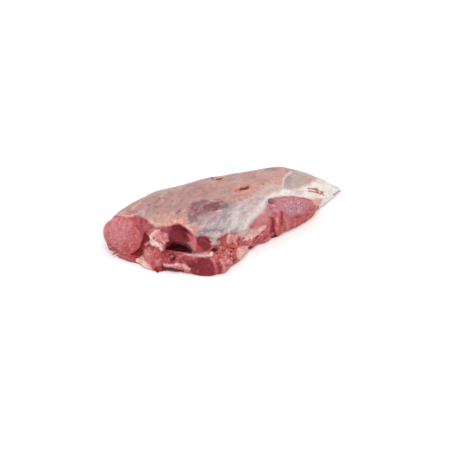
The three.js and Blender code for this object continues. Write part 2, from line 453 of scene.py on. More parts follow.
@dataclass
class SkinSide:
    """The upper side: silverskin and thin fat over dark muscle."""

    left_skin: tuple[Pixel, ...] = (
        (118, 214), (131, 207), (153, 196), (178, 187), (205, 182), (212, 196), (190, 203), (184, 216),
        (192, 228), (160, 226), (142, 216),
    )
    far_skin: tuple[Pixel, ...] = (
        (205, 182), (222, 180), (262, 170), (284, 170), (281, 190), (262, 197), (240, 203), (214, 197),
    )
    sheet: tuple[Pixel, ...] = (
        (199, 224), (208, 217), (220, 211), (231, 206), (243, 201), (262, 197), (268, 199), (262, 212),
        (251, 224), (246, 232), (238, 235), (226, 234), (214, 238), (204, 235), (197, 231),
    )
    tail: tuple[Pixel, ...] = (
        (269, 197), (276, 192.5), (286, 189.5), (297, 189), (307, 184.5), (318, 179.5), (332, 182),
        (346, 187), (346, 196), (318, 213), (314, 203), (305, 198), (291, 195.8), (278, 197.5),
    )
    streak_rise: float = 0.5   # how far a strand of silverskin stands up, in millimetres

    def marks(self) -> Marks:
        """Returns the tissues of the skin as the photograph shows them."""
        return [*self.fat(), *self.mottles(), *self.muscle_below(), *self.silverskin(), *self.stab(),
                *self.window(), *self.tail_end()]

    def fat(self) -> Marks:
        """Returns the tan fat of the middle, the far top and the cut edge."""
        by_edge = ((148, 214), (176, 211), (190, 222), (184, 227), (160, 227), (150, 222))
        over_muscle = ((184, 199), (196, 195), (214, 194), (232, 197), (240, 203), (228, 203),
                       (206, 198.5), (192, 202))
        speckled = ((221, 203), (232, 199), (242, 199), (240, 208), (231, 213), (222, 213))
        curls = (((242, 197), (245, 199.6), (249, 200)), ((247, 195.6), (251, 197.4), (256, 201.4)),
                 ((252, 194.6), (257, 195.6), (261, 198)), ((236, 201), (240, 203.4)))
        lines = (((264, 179.6), (267, 180.6), (271, 183.4)), ((275, 182.4), (278.4, 185.2)),
                 ((274, 186), (277, 188.6)), ((251.4, 182.2), (253.6, 183.2)), ((257, 189), (262, 190.4)),
                 ((250, 178), (257, 176.4)))
        return [
            Mark(WARM, self.far_skin, 0.55, soft=24, ragged=8, wave=26),
            Mark(WARM, by_edge, 0.75, soft=16, ragged=5, wave=20),
            Mark(WARM, over_muscle, 0.5, soft=12, ragged=4, wave=16),
            Mark(WARM, ((262, 176), (284, 172), (281, 188), (270, 190)), 0.9, soft=14, ragged=4),
            Mark(STAINED, ((266, 178), (280, 175), (281, 184), (272, 186)), 0.28, soft=12, ragged=4),
            Mark(SHOWING, ((222, 196), (236, 192.6), (250, 192), (246, 196.6), (232, 199)), 0.28, soft=8,
                 ragged=3),
            Mark(SHOWING, ((184, 189), (204, 184), (226, 184), (240, 188), (236, 195), (216, 196),
                           (192, 199)), 0.4, soft=16, ragged=6, wave=18),
            Mark(SHOWING, ((226, 178), (250, 174), (262, 173), (258, 179), (240, 184), (228, 184)), 0.16,
                 soft=12, ragged=5, wave=16),
            Flecks(WARM, self.far_skin, 26, length=(2, 8), slant=14, reach=(1.4, 3.6), soft=6,
                   amount=(0.35, 0.8), rise=0.2, seed=11),
            Flecks(SHOWING, self.far_skin, 26, length=(3, 10), slant=15, spread=12, reach=(0.8, 2.2),
                   soft=5, amount=(0.15, 0.34), rise=-0.25, seed=13),
            Flecks(STAINED, self.far_skin, 16, length=(3, 9), slant=15, spread=14, reach=(0.8, 2), soft=5,
                   amount=(0.15, 0.35), rise=0.2, seed=12),
            *[Stroke(SHOWING, line, 0.6, 0.6, soft=2.4, ragged=0.5, rise=-0.4) for line in lines],
            Mark(BLUE, ((222, 203), (228, 202), (233, 204.6), (231, 212), (224, 214)), 0.6, soft=5,
                 ragged=3, wave=4),
            Flecks(DEEP_AND_SHADE, speckled, 30, length=(0.5, 1.4), slant=30, spread=70, reach=(0.5, 0.9), soft=2,
                   amount=(0.15, 0.4), seed=14),
            Flecks(WARM, speckled, 22, length=(0.6, 2), slant=30, spread=70, reach=(0.6, 1.1), soft=2,
                   amount=(0.4, 0.9), seed=16),
            *[Stroke(STAINED, curl, 0.42, 2, soft=5, ragged=1.6, wave=5, rise=0.5) for curl in curls],
            Flecks(RED, ((240, 194), (262, 193), (260, 202), (244, 203)), 9, length=(0.8, 2), slant=-20,
                   reach=(0.5, 0.9), soft=2.4, amount=(0.2, 0.45), seed=15),
        ]

    def mottles(self) -> Marks:
        """Returns the darker blotches and the small blood spots of the skin."""
        spots = ((159.5, 198.2), (163.6, 198), (165.6, 198.6), (172, 201), (177, 213), (179.4, 211),
                 (158, 213), (263, 184), (149, 205), (156, 206.6))
        blotches = (((140, 207), (148, 203), (158, 200)), ((146, 211), (156, 206), (166, 205)),
                    ((160, 209), (165, 211), (168, 213)), ((179, 209), (180, 214)),
                    ((170, 196), (182, 192), (194, 190)), ((190, 190), (204, 188), (214, 189)))
        return [
            Mark(SHOWING, ((146, 202), (156, 198), (170, 199), (174, 206), (168, 213), (156, 213),
                           (147, 210)), 0.3, soft=12, ragged=5, wave=12),
            Mark(THIN, ((140, 204), (150, 194), (168, 187), (186, 184), (184, 190), (160, 198),
                        (146, 204)), 0.4, soft=10, ragged=3),
            *[Stroke(SHOWING, blotch, 0.4, 3.2, soft=9, ragged=3, wave=10, rise=-0.4)
              for blotch in blotches],
            Mark(SHOWING, ((173, 199), (190, 195), (197, 202), (190, 211), (179, 212), (171, 206)), 0.3,
                 soft=10, ragged=5, wave=10),
            Mark(SHOWING, ((186, 213), (197, 211), (200, 221), (189, 223)), 0.25, soft=8, ragged=3),
            Flecks(SHOWING, self.left_skin, 26, length=(3, 10), slant=26, spread=18, reach=(1.0, 3),
                   soft=5, amount=(0.12, 0.34), rise=-0.3, seed=21),
            Flecks(WARM, self.left_skin, 24, length=(3, 9), slant=26, spread=16, reach=(1.2, 3.4), soft=6,
                   amount=(0.25, 0.6), rise=0.25, seed=22),
            Flecks(STAINED, self.left_skin, 14, length=(3, 8), slant=26, spread=16, reach=(0.8, 2),
                   soft=4, amount=(0.12, 0.3), rise=0.25, seed=24),
            Flecks(SHOWING, self.left_skin, 34, length=(0.6, 1.8), slant=30, spread=60, reach=(0.5, 1.0),
                   soft=2, amount=(0.3, 0.7), seed=23),
            Mark(SILVER, ((137, 211), (143, 211.5), (147, 215), (141, 215)), 0.6, ragged=1.5),
            *[Stroke(BLOOD, ((x - 0.6, y), (x + 0.6, y)), 0.7, 0.9, soft=2, ragged=0.4)
              for x, y in spots],
        ]

    def muscle_below(self) -> Marks:
        """Returns the muscle that shows dark through the skin, and the strands over it."""
        pale_strands = (((199, 207.5), (204, 204.4), (209, 202.6), (216, 201)),
                        ((203, 203), (211, 200.8), (219, 200.6)),
                        ((191, 214.6), (197, 210.6), (203, 208.4)),
                        ((216, 205.6), (220, 203.6), (225, 202.8)))
        core = ((188, 209), (192, 204.5), (199, 200.8), (211, 199.2), (222, 201), (228.5, 205.5),
                (223, 211), (211, 213), (199, 216.5), (190, 217))
        return [
            Mark(SHOWING, core, 0.95, soft=8, ragged=3.5, wave=9, rise=-0.8),
            Mark(DEEP_AND_SHADE, ((198, 206), (208, 203.6), (219, 204), (218, 208.6), (206, 210.4)), 0.35, soft=7,
                 ragged=2.5),
            Mark(RED, ((188, 209), (194, 206.5), (199, 209), (197, 214), (190, 215.4)), 0.16, soft=7),
            Mark(RED, ((203, 207), (211, 204), (217, 207), (210, 212), (203, 212)), 0.14, soft=7),
            Mark(BLUE, ((197, 201.6), (205, 200), (204, 204), (198, 206)), 0.6, soft=5),
            Mark(BLUE, ((221, 204), (226, 203), (229.6, 206), (227, 211), (221.6, 213)), 0.85, soft=5),
            Mark(BLUE, ((187.4, 217.6), (192, 216), (197.6, 217), (197.4, 222), (190, 223)), 0.9,
                 soft=3.4, wave=4, rise=-0.5),
            Flecks(WARM, core, 9, length=(1.5, 4), slant=25, spread=20, reach=(0.6, 1.4), soft=5,
                   amount=(0.15, 0.4), rise=0.25, seed=25),
            *[Stroke(FAT, strand, 0.4, 0.6, soft=3, ragged=0.8, wave=5, rise=self.streak_rise)
              for strand in pale_strands],
        ]

    def silverskin(self) -> Marks:
        """Returns the thick silverskin over the trimmed side, with its strands and the veins under it."""
        red_strand = ((200.5, 226.5), (206, 221.4), (212, 215.4), (217.4, 211))
        strand_parts = ((red_strand[:2], 0.55), (red_strand[1:3], 0.3), (red_strand[2:], 0.5))
        dark_lines = (((198.6, 230), (205, 227.2), (216, 226.4), (227, 228)),
                      ((200, 234.4), (208, 233.6), (217, 232.6), (223, 232.4)))
        return [
            Mark(SILVER, self.sheet, 0.85, soft=12, ragged=5, wave=12, rise=0.3),
            Mark(SILVER, ((197, 217.5), (204, 213.5), (212, 211), (210, 214), (202, 218)), 0.6,
                 ragged=1.5),
            # veins and muscle that show blue through it
            Mark(BLUE, ((210, 214.6), (216, 212), (225.6, 212.6), (225, 217), (216, 220), (210, 218.6)),
                 0.85, ragged=2.4, wave=4, rise=-0.5),
            Mark(BLUE, ((199, 231.4), (203, 228.8), (214, 227.6), (225, 228.6), (223, 231.8),
                        (212, 232.2), (203, 233.6)), 0.85, soft=2.6, ragged=1.4, wave=4, rise=-0.6),
            *[Stroke(SHOWING, line, 0.6, 0.6, soft=2.2, ragged=0.6, wave=5, rise=-0.4)
              for line in dark_lines],
            Mark(SHOWING, ((215, 231), (221, 229), (226, 229.4), (222, 232)), 0.65, soft=3, ragged=1),
            Mark(BLUE, ((197.6, 222), (203, 220), (206, 222), (202, 226), (198, 226)), 0.5),
            Mark(BLUE, ((226, 219), (234, 214), (240, 212), (238, 217), (230, 223)), 0.35, soft=8,
                 ragged=3),
            Mark(BLUE, ((198, 214), (210, 209), (226, 208), (232, 214), (224, 224), (206, 226)), 0.55,
                 soft=14, ragged=5, wave=10),
            Mark(SHOWING, ((200, 219), (211, 212), (217, 215), (207, 224)), 0.3, soft=8, ragged=3),
            Mark(WAX, ((246, 202), (258, 198.6), (262, 206), (252, 212), (245, 210)), 0.45, soft=10,
                 ragged=4),
            Mark(SHOWING, ((228, 231), (236, 228.6), (242, 231.6), (238, 236), (230, 234.6)), 0.45,
                 soft=5, wave=5),
            Stroke(STAINED, ((229, 234), (236, 231), (241, 234)), 0.35, 1.6, ragged=1.4, wave=4),
            Flecks(BLUE, self.sheet, 46, length=(1, 5), slant=35, spread=40, reach=(0.6, 1.5), soft=3,
                   amount=(0.12, 0.36), rise=-0.25, seed=31),
            Flecks(WAX, self.sheet, 46, length=(1, 6), slant=50, spread=35, reach=(0.5, 1.2), soft=3,
                   amount=(0.12, 0.4), rise=0.25, seed=32),
            # white bands of strands
            Mark(WAX, ((233, 212), (237, 209), (240, 214), (238, 226), (233, 230), (231, 222)), 0.4,
                 soft=6, rise=0.3),
            Mark(SILVER, ((244, 208), (256, 200), (264, 198), (268, 200), (262, 210), (252, 222),
                          (244, 226)), 0.6, soft=10, ragged=4),
            Mark(WAX, ((258, 203), (264, 197), (270, 193), (278, 192), (277, 197.6), (269, 200),
                       (266, 207), (258, 214), (252, 222), (246, 229), (240, 233), (243, 222),
                       (250, 212)), 0.62, soft=14, ragged=4, rise=0.3),
            Mark(WAX, ((256, 190), (268, 186), (279, 184), (280, 191), (268, 195), (259, 198)), 0.32,
                 soft=14, ragged=4, wave=9),
            Mark(FAT, ((244, 208), (254, 203), (256, 209), (248, 216)), 0.35, soft=8, ragged=3),
            Mark(WARM, ((244, 203), (256, 199), (262, 197), (258, 204), (248, 208)), 0.5, soft=7,
                 ragged=3),
            # the reddish strand with its scrap of white fat
            *[Stroke(STAINED, part, amount, 1.6, ragged=1.4, wave=4, rise=0.4)
              for part, amount in strand_parts],
            Stroke(RED, ((201.4, 225.6), (203.6, 223.6)), 0.3, 0.9, soft=3, ragged=0.8),
            Stroke(RED, ((211, 216.4), (215.6, 212.4)), 0.3, 0.6, soft=3, ragged=0.8),
            Stroke(BLOOD, ((213.4, 209.8), (217.6, 209)), 0.9, 1.0, soft=1.8, ragged=0.4),
            Stroke(FAT, ((217.4, 210.8), (221.4, 211)), 0.8, 1.4, soft=2.6, ragged=0.6, rise=0.5),
        ]

    def stab(self) -> Marks:
        """Returns the stab mark and the blood round it."""
        return [
            Mark(WARM, ((232, 193), (238, 184), (250, 182), (254, 187), (246, 193)), 1.0, soft=8,
                 ragged=3),
            Stroke(STAINED, ((235, 191.5), (243, 188.5), (251, 186)), 0.3, 5, soft=10, ragged=3, wave=9),
            Stroke(RED, ((237, 191), (243, 188.5), (249.6, 186.6)), 0.7, 3.2, soft=8, ragged=2, wave=5),
            Stroke(BLOOD, ((241, 188.6), (248, 187.4)), 1.0, 1.9, soft=2.5, ragged=0.8, wave=4,
                   rise=-1.6),
            Stroke(DEEP_AND_SHADE, ((242.4, 188.2), (246.6, 187.5)), 1.0, 1.0, soft=1.5, ragged=0.3, rise=-1.0),
            Stroke(BLOOD, ((268, 168.7), (275, 168.3)), 0.5, 1.0, soft=2.5),
            Stroke(SHOWING, ((266, 169), (277, 169)), 0.6, 1.4, soft=3),
        ]

    def window(self) -> Marks:
        """Returns the thin window of skin and its seam."""
        clear = ((285, 175), (290, 171.4), (299, 169.4), (321, 178), (309, 185), (298, 189), (287, 191),
                 (283.6, 186), (284, 179))
        seam = ((291, 172.2), (286.6, 175), (284.2, 178.6), (282.6, 183.6), (283, 190.9))
        return [
            Mark(THIN, clear, 1.0, soft=6, rise=-0.4),
            Mark(BLUE, ((284.6, 178), (289, 175), (293, 178), (290, 183.6), (285, 184.4)), 0.42, soft=7),
            Mark(WARM, ((303, 177), (311, 175.8), (318, 179), (313, 183), (304, 183)), 0.7, soft=8,
                 ragged=2.5),
            Mark(WARM, ((296, 186), (305, 181.6), (311, 182), (302, 187)), 0.4, soft=6),
            Flecks(WARM, clear, 16, length=(2, 8), slant=-14, spread=16, reach=(0.6, 1.6), soft=3,
                   amount=(0.3, 0.6), seed=35),
            Stroke(WAX, seam, 0.55, 1.2, ragged=0.8, wave=6, rise=0.8),
        ]

    def tail_end(self) -> Marks:
        """Returns the white fat of the tail, the fat above the long muscle and the cuts in it."""
        nicks = (((308.4, 188.4), (312, 188.6), (316.6, 189.4)),
                 ((308.8, 191), (313, 191.4), (318.6, 193)), ((315.6, 189), (318.4, 193.2)),
                 ((317.4, 188.8), (318.8, 191)), ((320.6, 191.6), (322, 193), (323.4, 195)),
                 ((320.2, 194.6), (323, 192)))
        return [
            Mark(WAX, self.tail, 1.0, soft=8, wave=14, rise=0.3),
            Mark(STAINED, ((293.6, 191), (298, 189.6), (302.5, 191.4), (301, 195.4), (295, 195.4)), 0.4,
                 soft=5, ragged=1.5),
            Mark(FAT, ((311.6, 201), (315, 198.4), (322, 198.8), (321, 203), (314.6, 208)), 1.0,
                 ragged=1.2),
            Mark(STAINED, ((311.6, 201), (315, 198.4), (322, 198.8), (321, 203), (314.6, 208)), 0.9,
                 ragged=1.2),
            Mark(STAINED, ((322, 204), (326, 202), (326, 206), (321, 209)), 0.4, soft=5, ragged=1.2),
            Flecks(FAT, self.tail, 12, length=(2, 7), slant=0, spread=40, reach=(0.8, 2), soft=5,
                   amount=(0.12, 0.3), seed=36),
            Flecks(THIN, self.tail, 9, length=(2, 7), slant=-15, spread=20, reach=(0.6, 1.4), soft=4,
                   amount=(0.15, 0.3), rise=-0.3, seed=37),
            *[Stroke(CUT, nick, 0.9, 1.3, soft=1.8, ragged=0.5, wave=3, rise=-0.7) for nick in nicks],
            Mark(SHOWING, ((314, 189.4), (319, 190), (323.6, 193.4), (318, 193.6)), 0.3, ragged=1),
            Stroke(CUT, ((334, 194.6), (338, 192), (341, 190.6)), 0.85, 1.4, soft=1.6, ragged=0.5,
                   rise=-0.6),
            Stroke(SHOWING, ((331.8, 185.4), (336.6, 187.4)), 0.35, 1.0, soft=2),
        ]


@dataclass
class CutEnd:
    """The blunt end: the round muscle, the stack of small muscles and the flap under them."""

    skin_edge: tuple[Pixel, ...] = (
        (104, 221), (108, 218), (112, 216.6), (118, 215.3), (123, 215.7), (127, 216.6), (131, 215.7),
        (136, 214.6), (138.5, 216), (142.6, 217.5), (146.2, 219.3), (150.7, 222.9), (154.2, 226),
        (157, 226.9), (162.8, 226.7), (168, 226.2), (174, 224.3), (180, 224.3), (184.4, 227.3),
        (189.5, 230.4), (193.4, 235), (197.2, 236.5), (204.8, 235.6), (211, 237.2), (213.8, 240.7),
    )
    round_muscle: tuple[Pixel, ...] = (
        (103.4, 228.2), (105, 223), (110, 219.8), (118, 217.5), (127, 218.5), (134.5, 218), (136.5, 226),
        (138, 233), (139.4, 240), (139.8, 245), (137.3, 249.6), (131.9, 252.3), (125.7, 253.7),
        (119.4, 253.2), (113.6, 250.1), (109.2, 244.3), (105.1, 238.9), (102.9, 233.6),
    )

    def marks(self) -> Marks:
        """Returns the tissues of the cut end as the photograph shows them."""
        everything = (*self.skin_edge, (222, 236), (228, 233), (233, 237), (244, 239), (246, 300),
                      (90, 300), (90, 222))
        return [
            Mark(CUT, everything, soft=2, ragged=0.8, wave=5),
            *self.round_face(), *self.beside_round(), *self.wedge(), *self.dark_muscles(),
            *self.right_lobe(), *self.left_lobe(), *self.middle_lobe(), *self.flap(), *self.under_round(),
            *self.foot(), *self.sinews(), *self.edge_of_skin(),
        ]

    def edge_of_skin(self) -> Marks:
        """Returns the rolled edge of the skin, pale at the left and red over the dark muscles."""
        rolled = ((163, 222), (170, 220.4), (177, 218.4), (186, 221.6), (193, 228.6), (197, 235.6),
                  (192, 233.6), (185, 227), (178, 223.8), (170, 225.4), (163, 226))
        return [
            Mark(RED, ((123, 213.4), (129, 211), (137, 210.8), (136, 213.6), (129, 214.8)), 0.6, soft=3,
                 ragged=1, rise=-0.4),
            Stroke(FAT, ((117, 214), (124, 212.6), (131, 213.8), (136, 212.8)), 0.5, 0.8, soft=2.5,
                   ragged=0.8, rise=0.6),
            Stroke(FAT, self.skin_edge[3:8], 0.6, 1.1, soft=2.6, ragged=0.9, wave=5, rise=1.0),
            Mark(WARM, ((143, 215), (152, 219.6), (158, 223.6), (164, 223.6), (164, 226.4), (155, 226.4),
                        (148, 220.6)), 0.9, soft=5, ragged=1.5, rise=0.9),
            Mark(FAT, ((148, 219.4), (154, 222), (160, 223), (166, 224), (166, 226.6), (157, 227),
                       (151, 223.4)), 0.35, soft=3.5, ragged=1.2, wave=5, rise=0.6),
            Stroke(RED, ((163, 225), (168, 224.6), (173, 223.2)), 0.35, 1.6, ragged=1),
            Mark(STAINED, rolled, 0.5, soft=6, ragged=1.8, wave=6, rise=0.9),
            Stroke(STAINED, ((175.6, 221.4), (182, 222), (187, 225.6), (192, 230.4)), 0.8, 2, ragged=1.4,
                   wave=4, rise=0.8),
            Flecks(RED, rolled, 14, length=(0.8, 2.6), slant=-35, spread=70, reach=(0.8, 1.6), soft=3,
                   amount=(0.25, 0.6), rise=-0.4, seed=44),
            Flecks(FAT, rolled, 8, length=(1, 3), slant=-35, spread=60, reach=(0.6, 1.2), soft=3,
                   amount=(0.25, 0.6), rise=0.4, seed=46),
            Stroke(RED, self.skin_edge[14:21], 0.7, 0.9, soft=2.6, ragged=0.9, wave=5),
            Stroke(SHOWING, self.skin_edge[20:25], 0.5, 0.8, soft=2.4, ragged=0.8, wave=5),
            Mark(SILVER, ((209, 238.4), (213, 239.6), (219, 240), (221, 243), (218, 245.6), (212, 245),
                          (210.4, 241.4)), 0.8, soft=3.5, ragged=1.6, wave=5, rise=0.6),
            Stroke(FAT, ((211.4, 243.4), (215, 244.4), (219, 243.4)), 0.6, 1.2, soft=3, ragged=1, wave=4,
                   rise=0.4),
        ]

    def round_face(self) -> Marks:
        """Returns the round muscle's cut face."""
        middle = ((105, 230), (108, 223), (117, 220), (127, 221), (131, 228), (129, 238), (122, 246),
                  (112, 245))
        low = ((130, 236), (137, 238), (139, 246), (132, 252), (122, 253), (124, 246))
        rim = ((104, 238), (102.8, 232), (104, 226), (108, 221.6), (116, 218.4))
        return [
            Mark(PALE, middle, 0.5, soft=22, ragged=4, wave=14),
            Mark(RED, low, 0.4, soft=10, ragged=3),
            Mark(RED, ((131, 219), (137, 218.5), (138, 228), (135, 235), (132, 228)), 0.5, soft=8,
                 ragged=2.5),
            Stroke(PALE, rim, 0.7, 2.2, soft=5, ragged=1),
            Flecks(DEEP_AND_SHADE, self.round_muscle, 46, length=(0.8, 3), slant=60, spread=50, reach=(0.4, 0.9),
                   amount=(0.12, 0.32), rise=-0.2, seed=41),
            Flecks(FAT, self.round_muscle, 46, length=(0.8, 3.5), slant=60, spread=50, reach=(0.3, 0.7),
                   amount=(0.12, 0.36), rise=0.2, seed=42),
            # curl of a fibre near the lower right edge, painted pale as a highlight on it, and small blood
            # spots
            Stroke(PALE, ((129.4, 246.4), (130.6, 243.8), (133.6, 242.2), (136, 243)), 0.7, 0.8, soft=2,
                   rise=0.6),
            *[Stroke(BLOOD, ((x - 0.4, y), (x + 0.4, y)), 0.6, 0.6, soft=1.6)
              for x, y in ((132.5, 241.4), (127, 236.4), (120.4, 229))],
            Stroke(PALE, ((139.2, 246), (137.4, 249), (132, 252), (126, 253.4)), 0.5, 0.7, soft=2,
                   rise=0.4),
        ]

    def beside_round(self) -> Marks:
        """Returns the muscle between the round one and the stack."""
        body = ((136, 217.5), (144, 218.5), (150, 223), (155, 227.5), (157, 229), (150, 234), (148, 238),
                (144, 243), (141, 244), (139.5, 236), (137.5, 228))
        return [
            Mark(DEEP_AND_SHADE, body, 0.55, soft=6),
            Mark(DEEP_AND_SHADE, ((138, 220), (142, 218.6), (147, 221), (148, 226), (145, 230), (140, 229)), 0.4,
                 soft=7),
            Mark(SHOWING, ((139, 221), (147, 221), (150, 226), (143, 233)), 0.2, soft=8),
            Stroke(BLOOD, ((141, 220.6), (145, 222.6)), 0.5, 2, soft=5),
            Stroke(SHOWING, ((149.6, 223.6), (155, 226.4)), 0.5, 1.2, soft=3),
            # a raised band, painted pale pink-red as a highlight along it
            Stroke(PALE, ((155.6, 227.4), (151, 230.6), (148, 235)), 0.6, 1.8, ragged=0.8, rise=0.5),
            Stroke(RED, ((155, 228), (151, 231.4), (149, 235)), 0.4, 1.4),
            Mark(PALE, ((136.6, 218), (140, 218.6), (139, 226), (137, 224)), 0.5, soft=3, ragged=1),
            Stroke(STAINED, ((136, 229), (140, 234), (141, 240)), 0.25, 1.4, soft=5),
            Flecks(PALE, body, 8, length=(1.5, 4), slant=60, spread=40, reach=(1.2, 2.2), soft=5,
                   amount=(0.1, 0.25), rise=0.2, seed=43),
            Flecks(DEEP_AND_SHADE, body, 8, length=(1, 3), slant=-60, spread=50, reach=(0.8, 1.6), soft=4,
                   amount=(0.15, 0.4), rise=-0.2, seed=45),
            # the gap under both: dark blood red, partly blood and partly painted shade, with a darker line of
            # painted shade in it
            Mark(BLOOD, ((144.4, 233), (150, 237.6), (149.6, 240.6), (146, 244.4), (143.4, 249),
                         (141.6, 254), (139.6, 258), (130, 256.4), (134, 252.4), (139, 248.6),
                         (141.4, 244), (143, 239)), 1.0, soft=3, ragged=0.8, rise=-2.5),
            Stroke(DEEP_AND_SHADE, ((146.6, 237), (147.6, 239.4), (143.4, 244)), 0.5, 1.0, ragged=0.6, rise=-1.2),
            Stroke(RED, ((130, 256), (134.6, 254), (139, 255.6)), 0.9, 2.2, soft=3, ragged=0.8),
        ]

    def wedge(self) -> Marks:
        """Returns the wedge of muscle with a white rim."""
        body = ((153.5, 236), (158.6, 232), (167.5, 230.5), (169, 236), (168.6, 243), (165, 247),
                (160, 244), (155, 240))
        band = ((149.6, 236.4), (151.6, 238), (152.6, 240.4), (157, 242), (161.6, 245.6), (163.4, 251),
                (160.6, 251.6), (158.6, 247), (154, 245.4), (150.4, 244), (149, 240))
        return [
            Mark(PALE, body, 0.35, soft=3, ragged=1.5),
            Mark(SHOWING, body, 0.3, soft=5, ragged=1.5),
            Flecks(FAT, body, 22, length=(1, 3), slant=-40, spread=70, reach=(0.5, 0.9), soft=2,
                   amount=(0.3, 0.7), rise=0.3, seed=51),
            Flecks(DEEP_AND_SHADE, body, 12, length=(0.8, 2), slant=50, spread=70, reach=(0.5, 0.9), soft=2,
                   amount=(0.2, 0.45), rise=-0.3, seed=52),
            Stroke(FAT, ((159, 230.4), (154.6, 232.6), (150.6, 236.6)), 0.9, 2.6, ragged=1.2, wave=5,
                   rise=0.6),
            Mark(FAT, band, 1.0, ragged=1.4, wave=5, rise=0.5),
            Mark(WAX, band, 0.6, soft=5, ragged=1.2, wave=5, rise=0.5),
            Stroke(STAINED, ((156, 243), (161, 246.6), (162.4, 251)), 0.4, 1.6, ragged=1.2, wave=4),
            Stroke(STAINED, ((150, 236.4), (151.4, 240)), 0.3, 1.6, ragged=1.2, wave=4),
            Stroke(STAINED, ((150, 242.6), (147.6, 243.6), (145.4, 245.4)), 0.8, 1.2, soft=2.4,
                   ragged=0.7, rise=0.6),
            # painted shade in the gap beside the white rim, and under the stained shred
            Stroke(DEEP_AND_SHADE, ((152.4, 236.6), (154, 238.4)), 0.7, 0.8, soft=2, rise=-0.8),
            Stroke(DEEP_AND_SHADE, ((149.6, 244.6), (147.4, 245)), 0.6, 0.8, soft=2, rise=-0.8),
        ]

    def dark_muscles(self) -> Marks:
        """Returns the two dark muscles under the edge of the skin, with painted shade under that edge, and
        the hollow under them, painted as its shade.
        """
        return [
            Mark(DEEP_AND_SHADE, ((158, 229), (166, 227.6), (174, 225), (181.5, 225), (187, 228.6), (192, 234),
                        (193, 241), (186, 243), (176, 241), (169, 241), (167, 234)), 0.85, ragged=1.2),
            Mark(SHOWING, ((160, 228), (168, 228), (170, 234), (169, 238), (164, 233)), 0.35, soft=5,
                 ragged=1),
            Mark(DEEP_AND_SHADE, ((171, 228), (180, 225), (186, 229), (187, 237), (181, 239), (174, 238)), 0.9,
                 soft=8, ragged=1, rise=-0.8),
            # painted shade under the skin's edge, darkest at the top
            Mark(DEEP_AND_SHADE, ((172, 226), (176, 224.2), (183, 226), (187, 231), (186.6, 237), (182, 236),
                        (180, 230)), 1.0, soft=5, ragged=1, rise=-0.4),
            Stroke(BLOOD, ((172, 232), (175, 236), (180, 239)), 0.3, 2, soft=6),
            Stroke(PALE, ((187, 234), (190.6, 237), (192, 242)), 0.5, 1.6, ragged=0.8, rise=0.3),
            # a small painted highlight, in the fat's colours
            Stroke(FAT, ((180.6, 229.4), (182.4, 230.6)), 0.3, 0.5, soft=2),
            Stroke(PALE, ((158, 229.8), (165, 228.6), (171, 229)), 0.4, 0.8, soft=2.5),
            # the hollow, painted dark red as its shade, blood red low down and mauve along its upper edge
            Mark(DEEP_AND_SHADE, ((166.4, 242.8), (171, 240.9), (180.6, 241.4), (188.3, 244.5), (192.3, 250.5),
                        (185.7, 251.8), (175.5, 250.5), (165.6, 249)), 0.92, soft=3, ragged=0.6,
                 rise=-1.6),
            Stroke(BLOOD, ((168, 246), (174, 248.4), (180, 249.6)), 0.8, 3),
            Stroke(SHOWING, ((171, 243), (180, 243.6), (189, 247)), 0.35, 2),
            Stroke(DEEP_AND_SHADE, ((166.6, 243), (168, 248.6), (173, 250)), 0.6, 0.8, soft=3),
        ]

    def right_lobe(self) -> Marks:
        """Returns the lobe at the right of the stack, dark on top, and the pale strip beside it."""
        body = ((197, 237.5), (205, 236.5), (211.5, 238.5), (213, 243), (211, 248.6), (206, 251),
                (200, 251.5), (197, 250), (196.6, 243))
        top = ((196.6, 238), (204, 236.4), (211, 238.5), (213, 242.6), (208, 245.4), (201, 243),
               (197.5, 241))
        return [
            Mark(PALE, ((189.6, 238), (194, 237), (196.6, 239), (196, 247), (197, 251.6), (191.6, 249),
                        (189.4, 243)), 0.32, ragged=1),
            Mark(DEEP_AND_SHADE, body, 0.9, ragged=1),
            Mark(RED, ((196, 244.6), (200, 246), (203, 249.6), (199, 252)), 0.7, ragged=1),
            Mark(DEEP_AND_SHADE, top, 0.85, soft=6, ragged=1.2, rise=-0.5),
            Mark(DEEP_AND_SHADE, ((204.6, 238.6), (211, 239.6), (212, 243.4), (208, 243.6)), 1.0, ragged=1),
            Stroke(PALE, ((200.4, 239.4), (206, 241), (210, 244)), 0.2, 0.8, soft=3),
            # painted shade in the crease at the lobe's lower right
            Stroke(DEEP_AND_SHADE, ((211, 251), (214, 250), (217, 249)), 0.8, 1.4, soft=2.6, ragged=0.7, rise=-2),
        ]

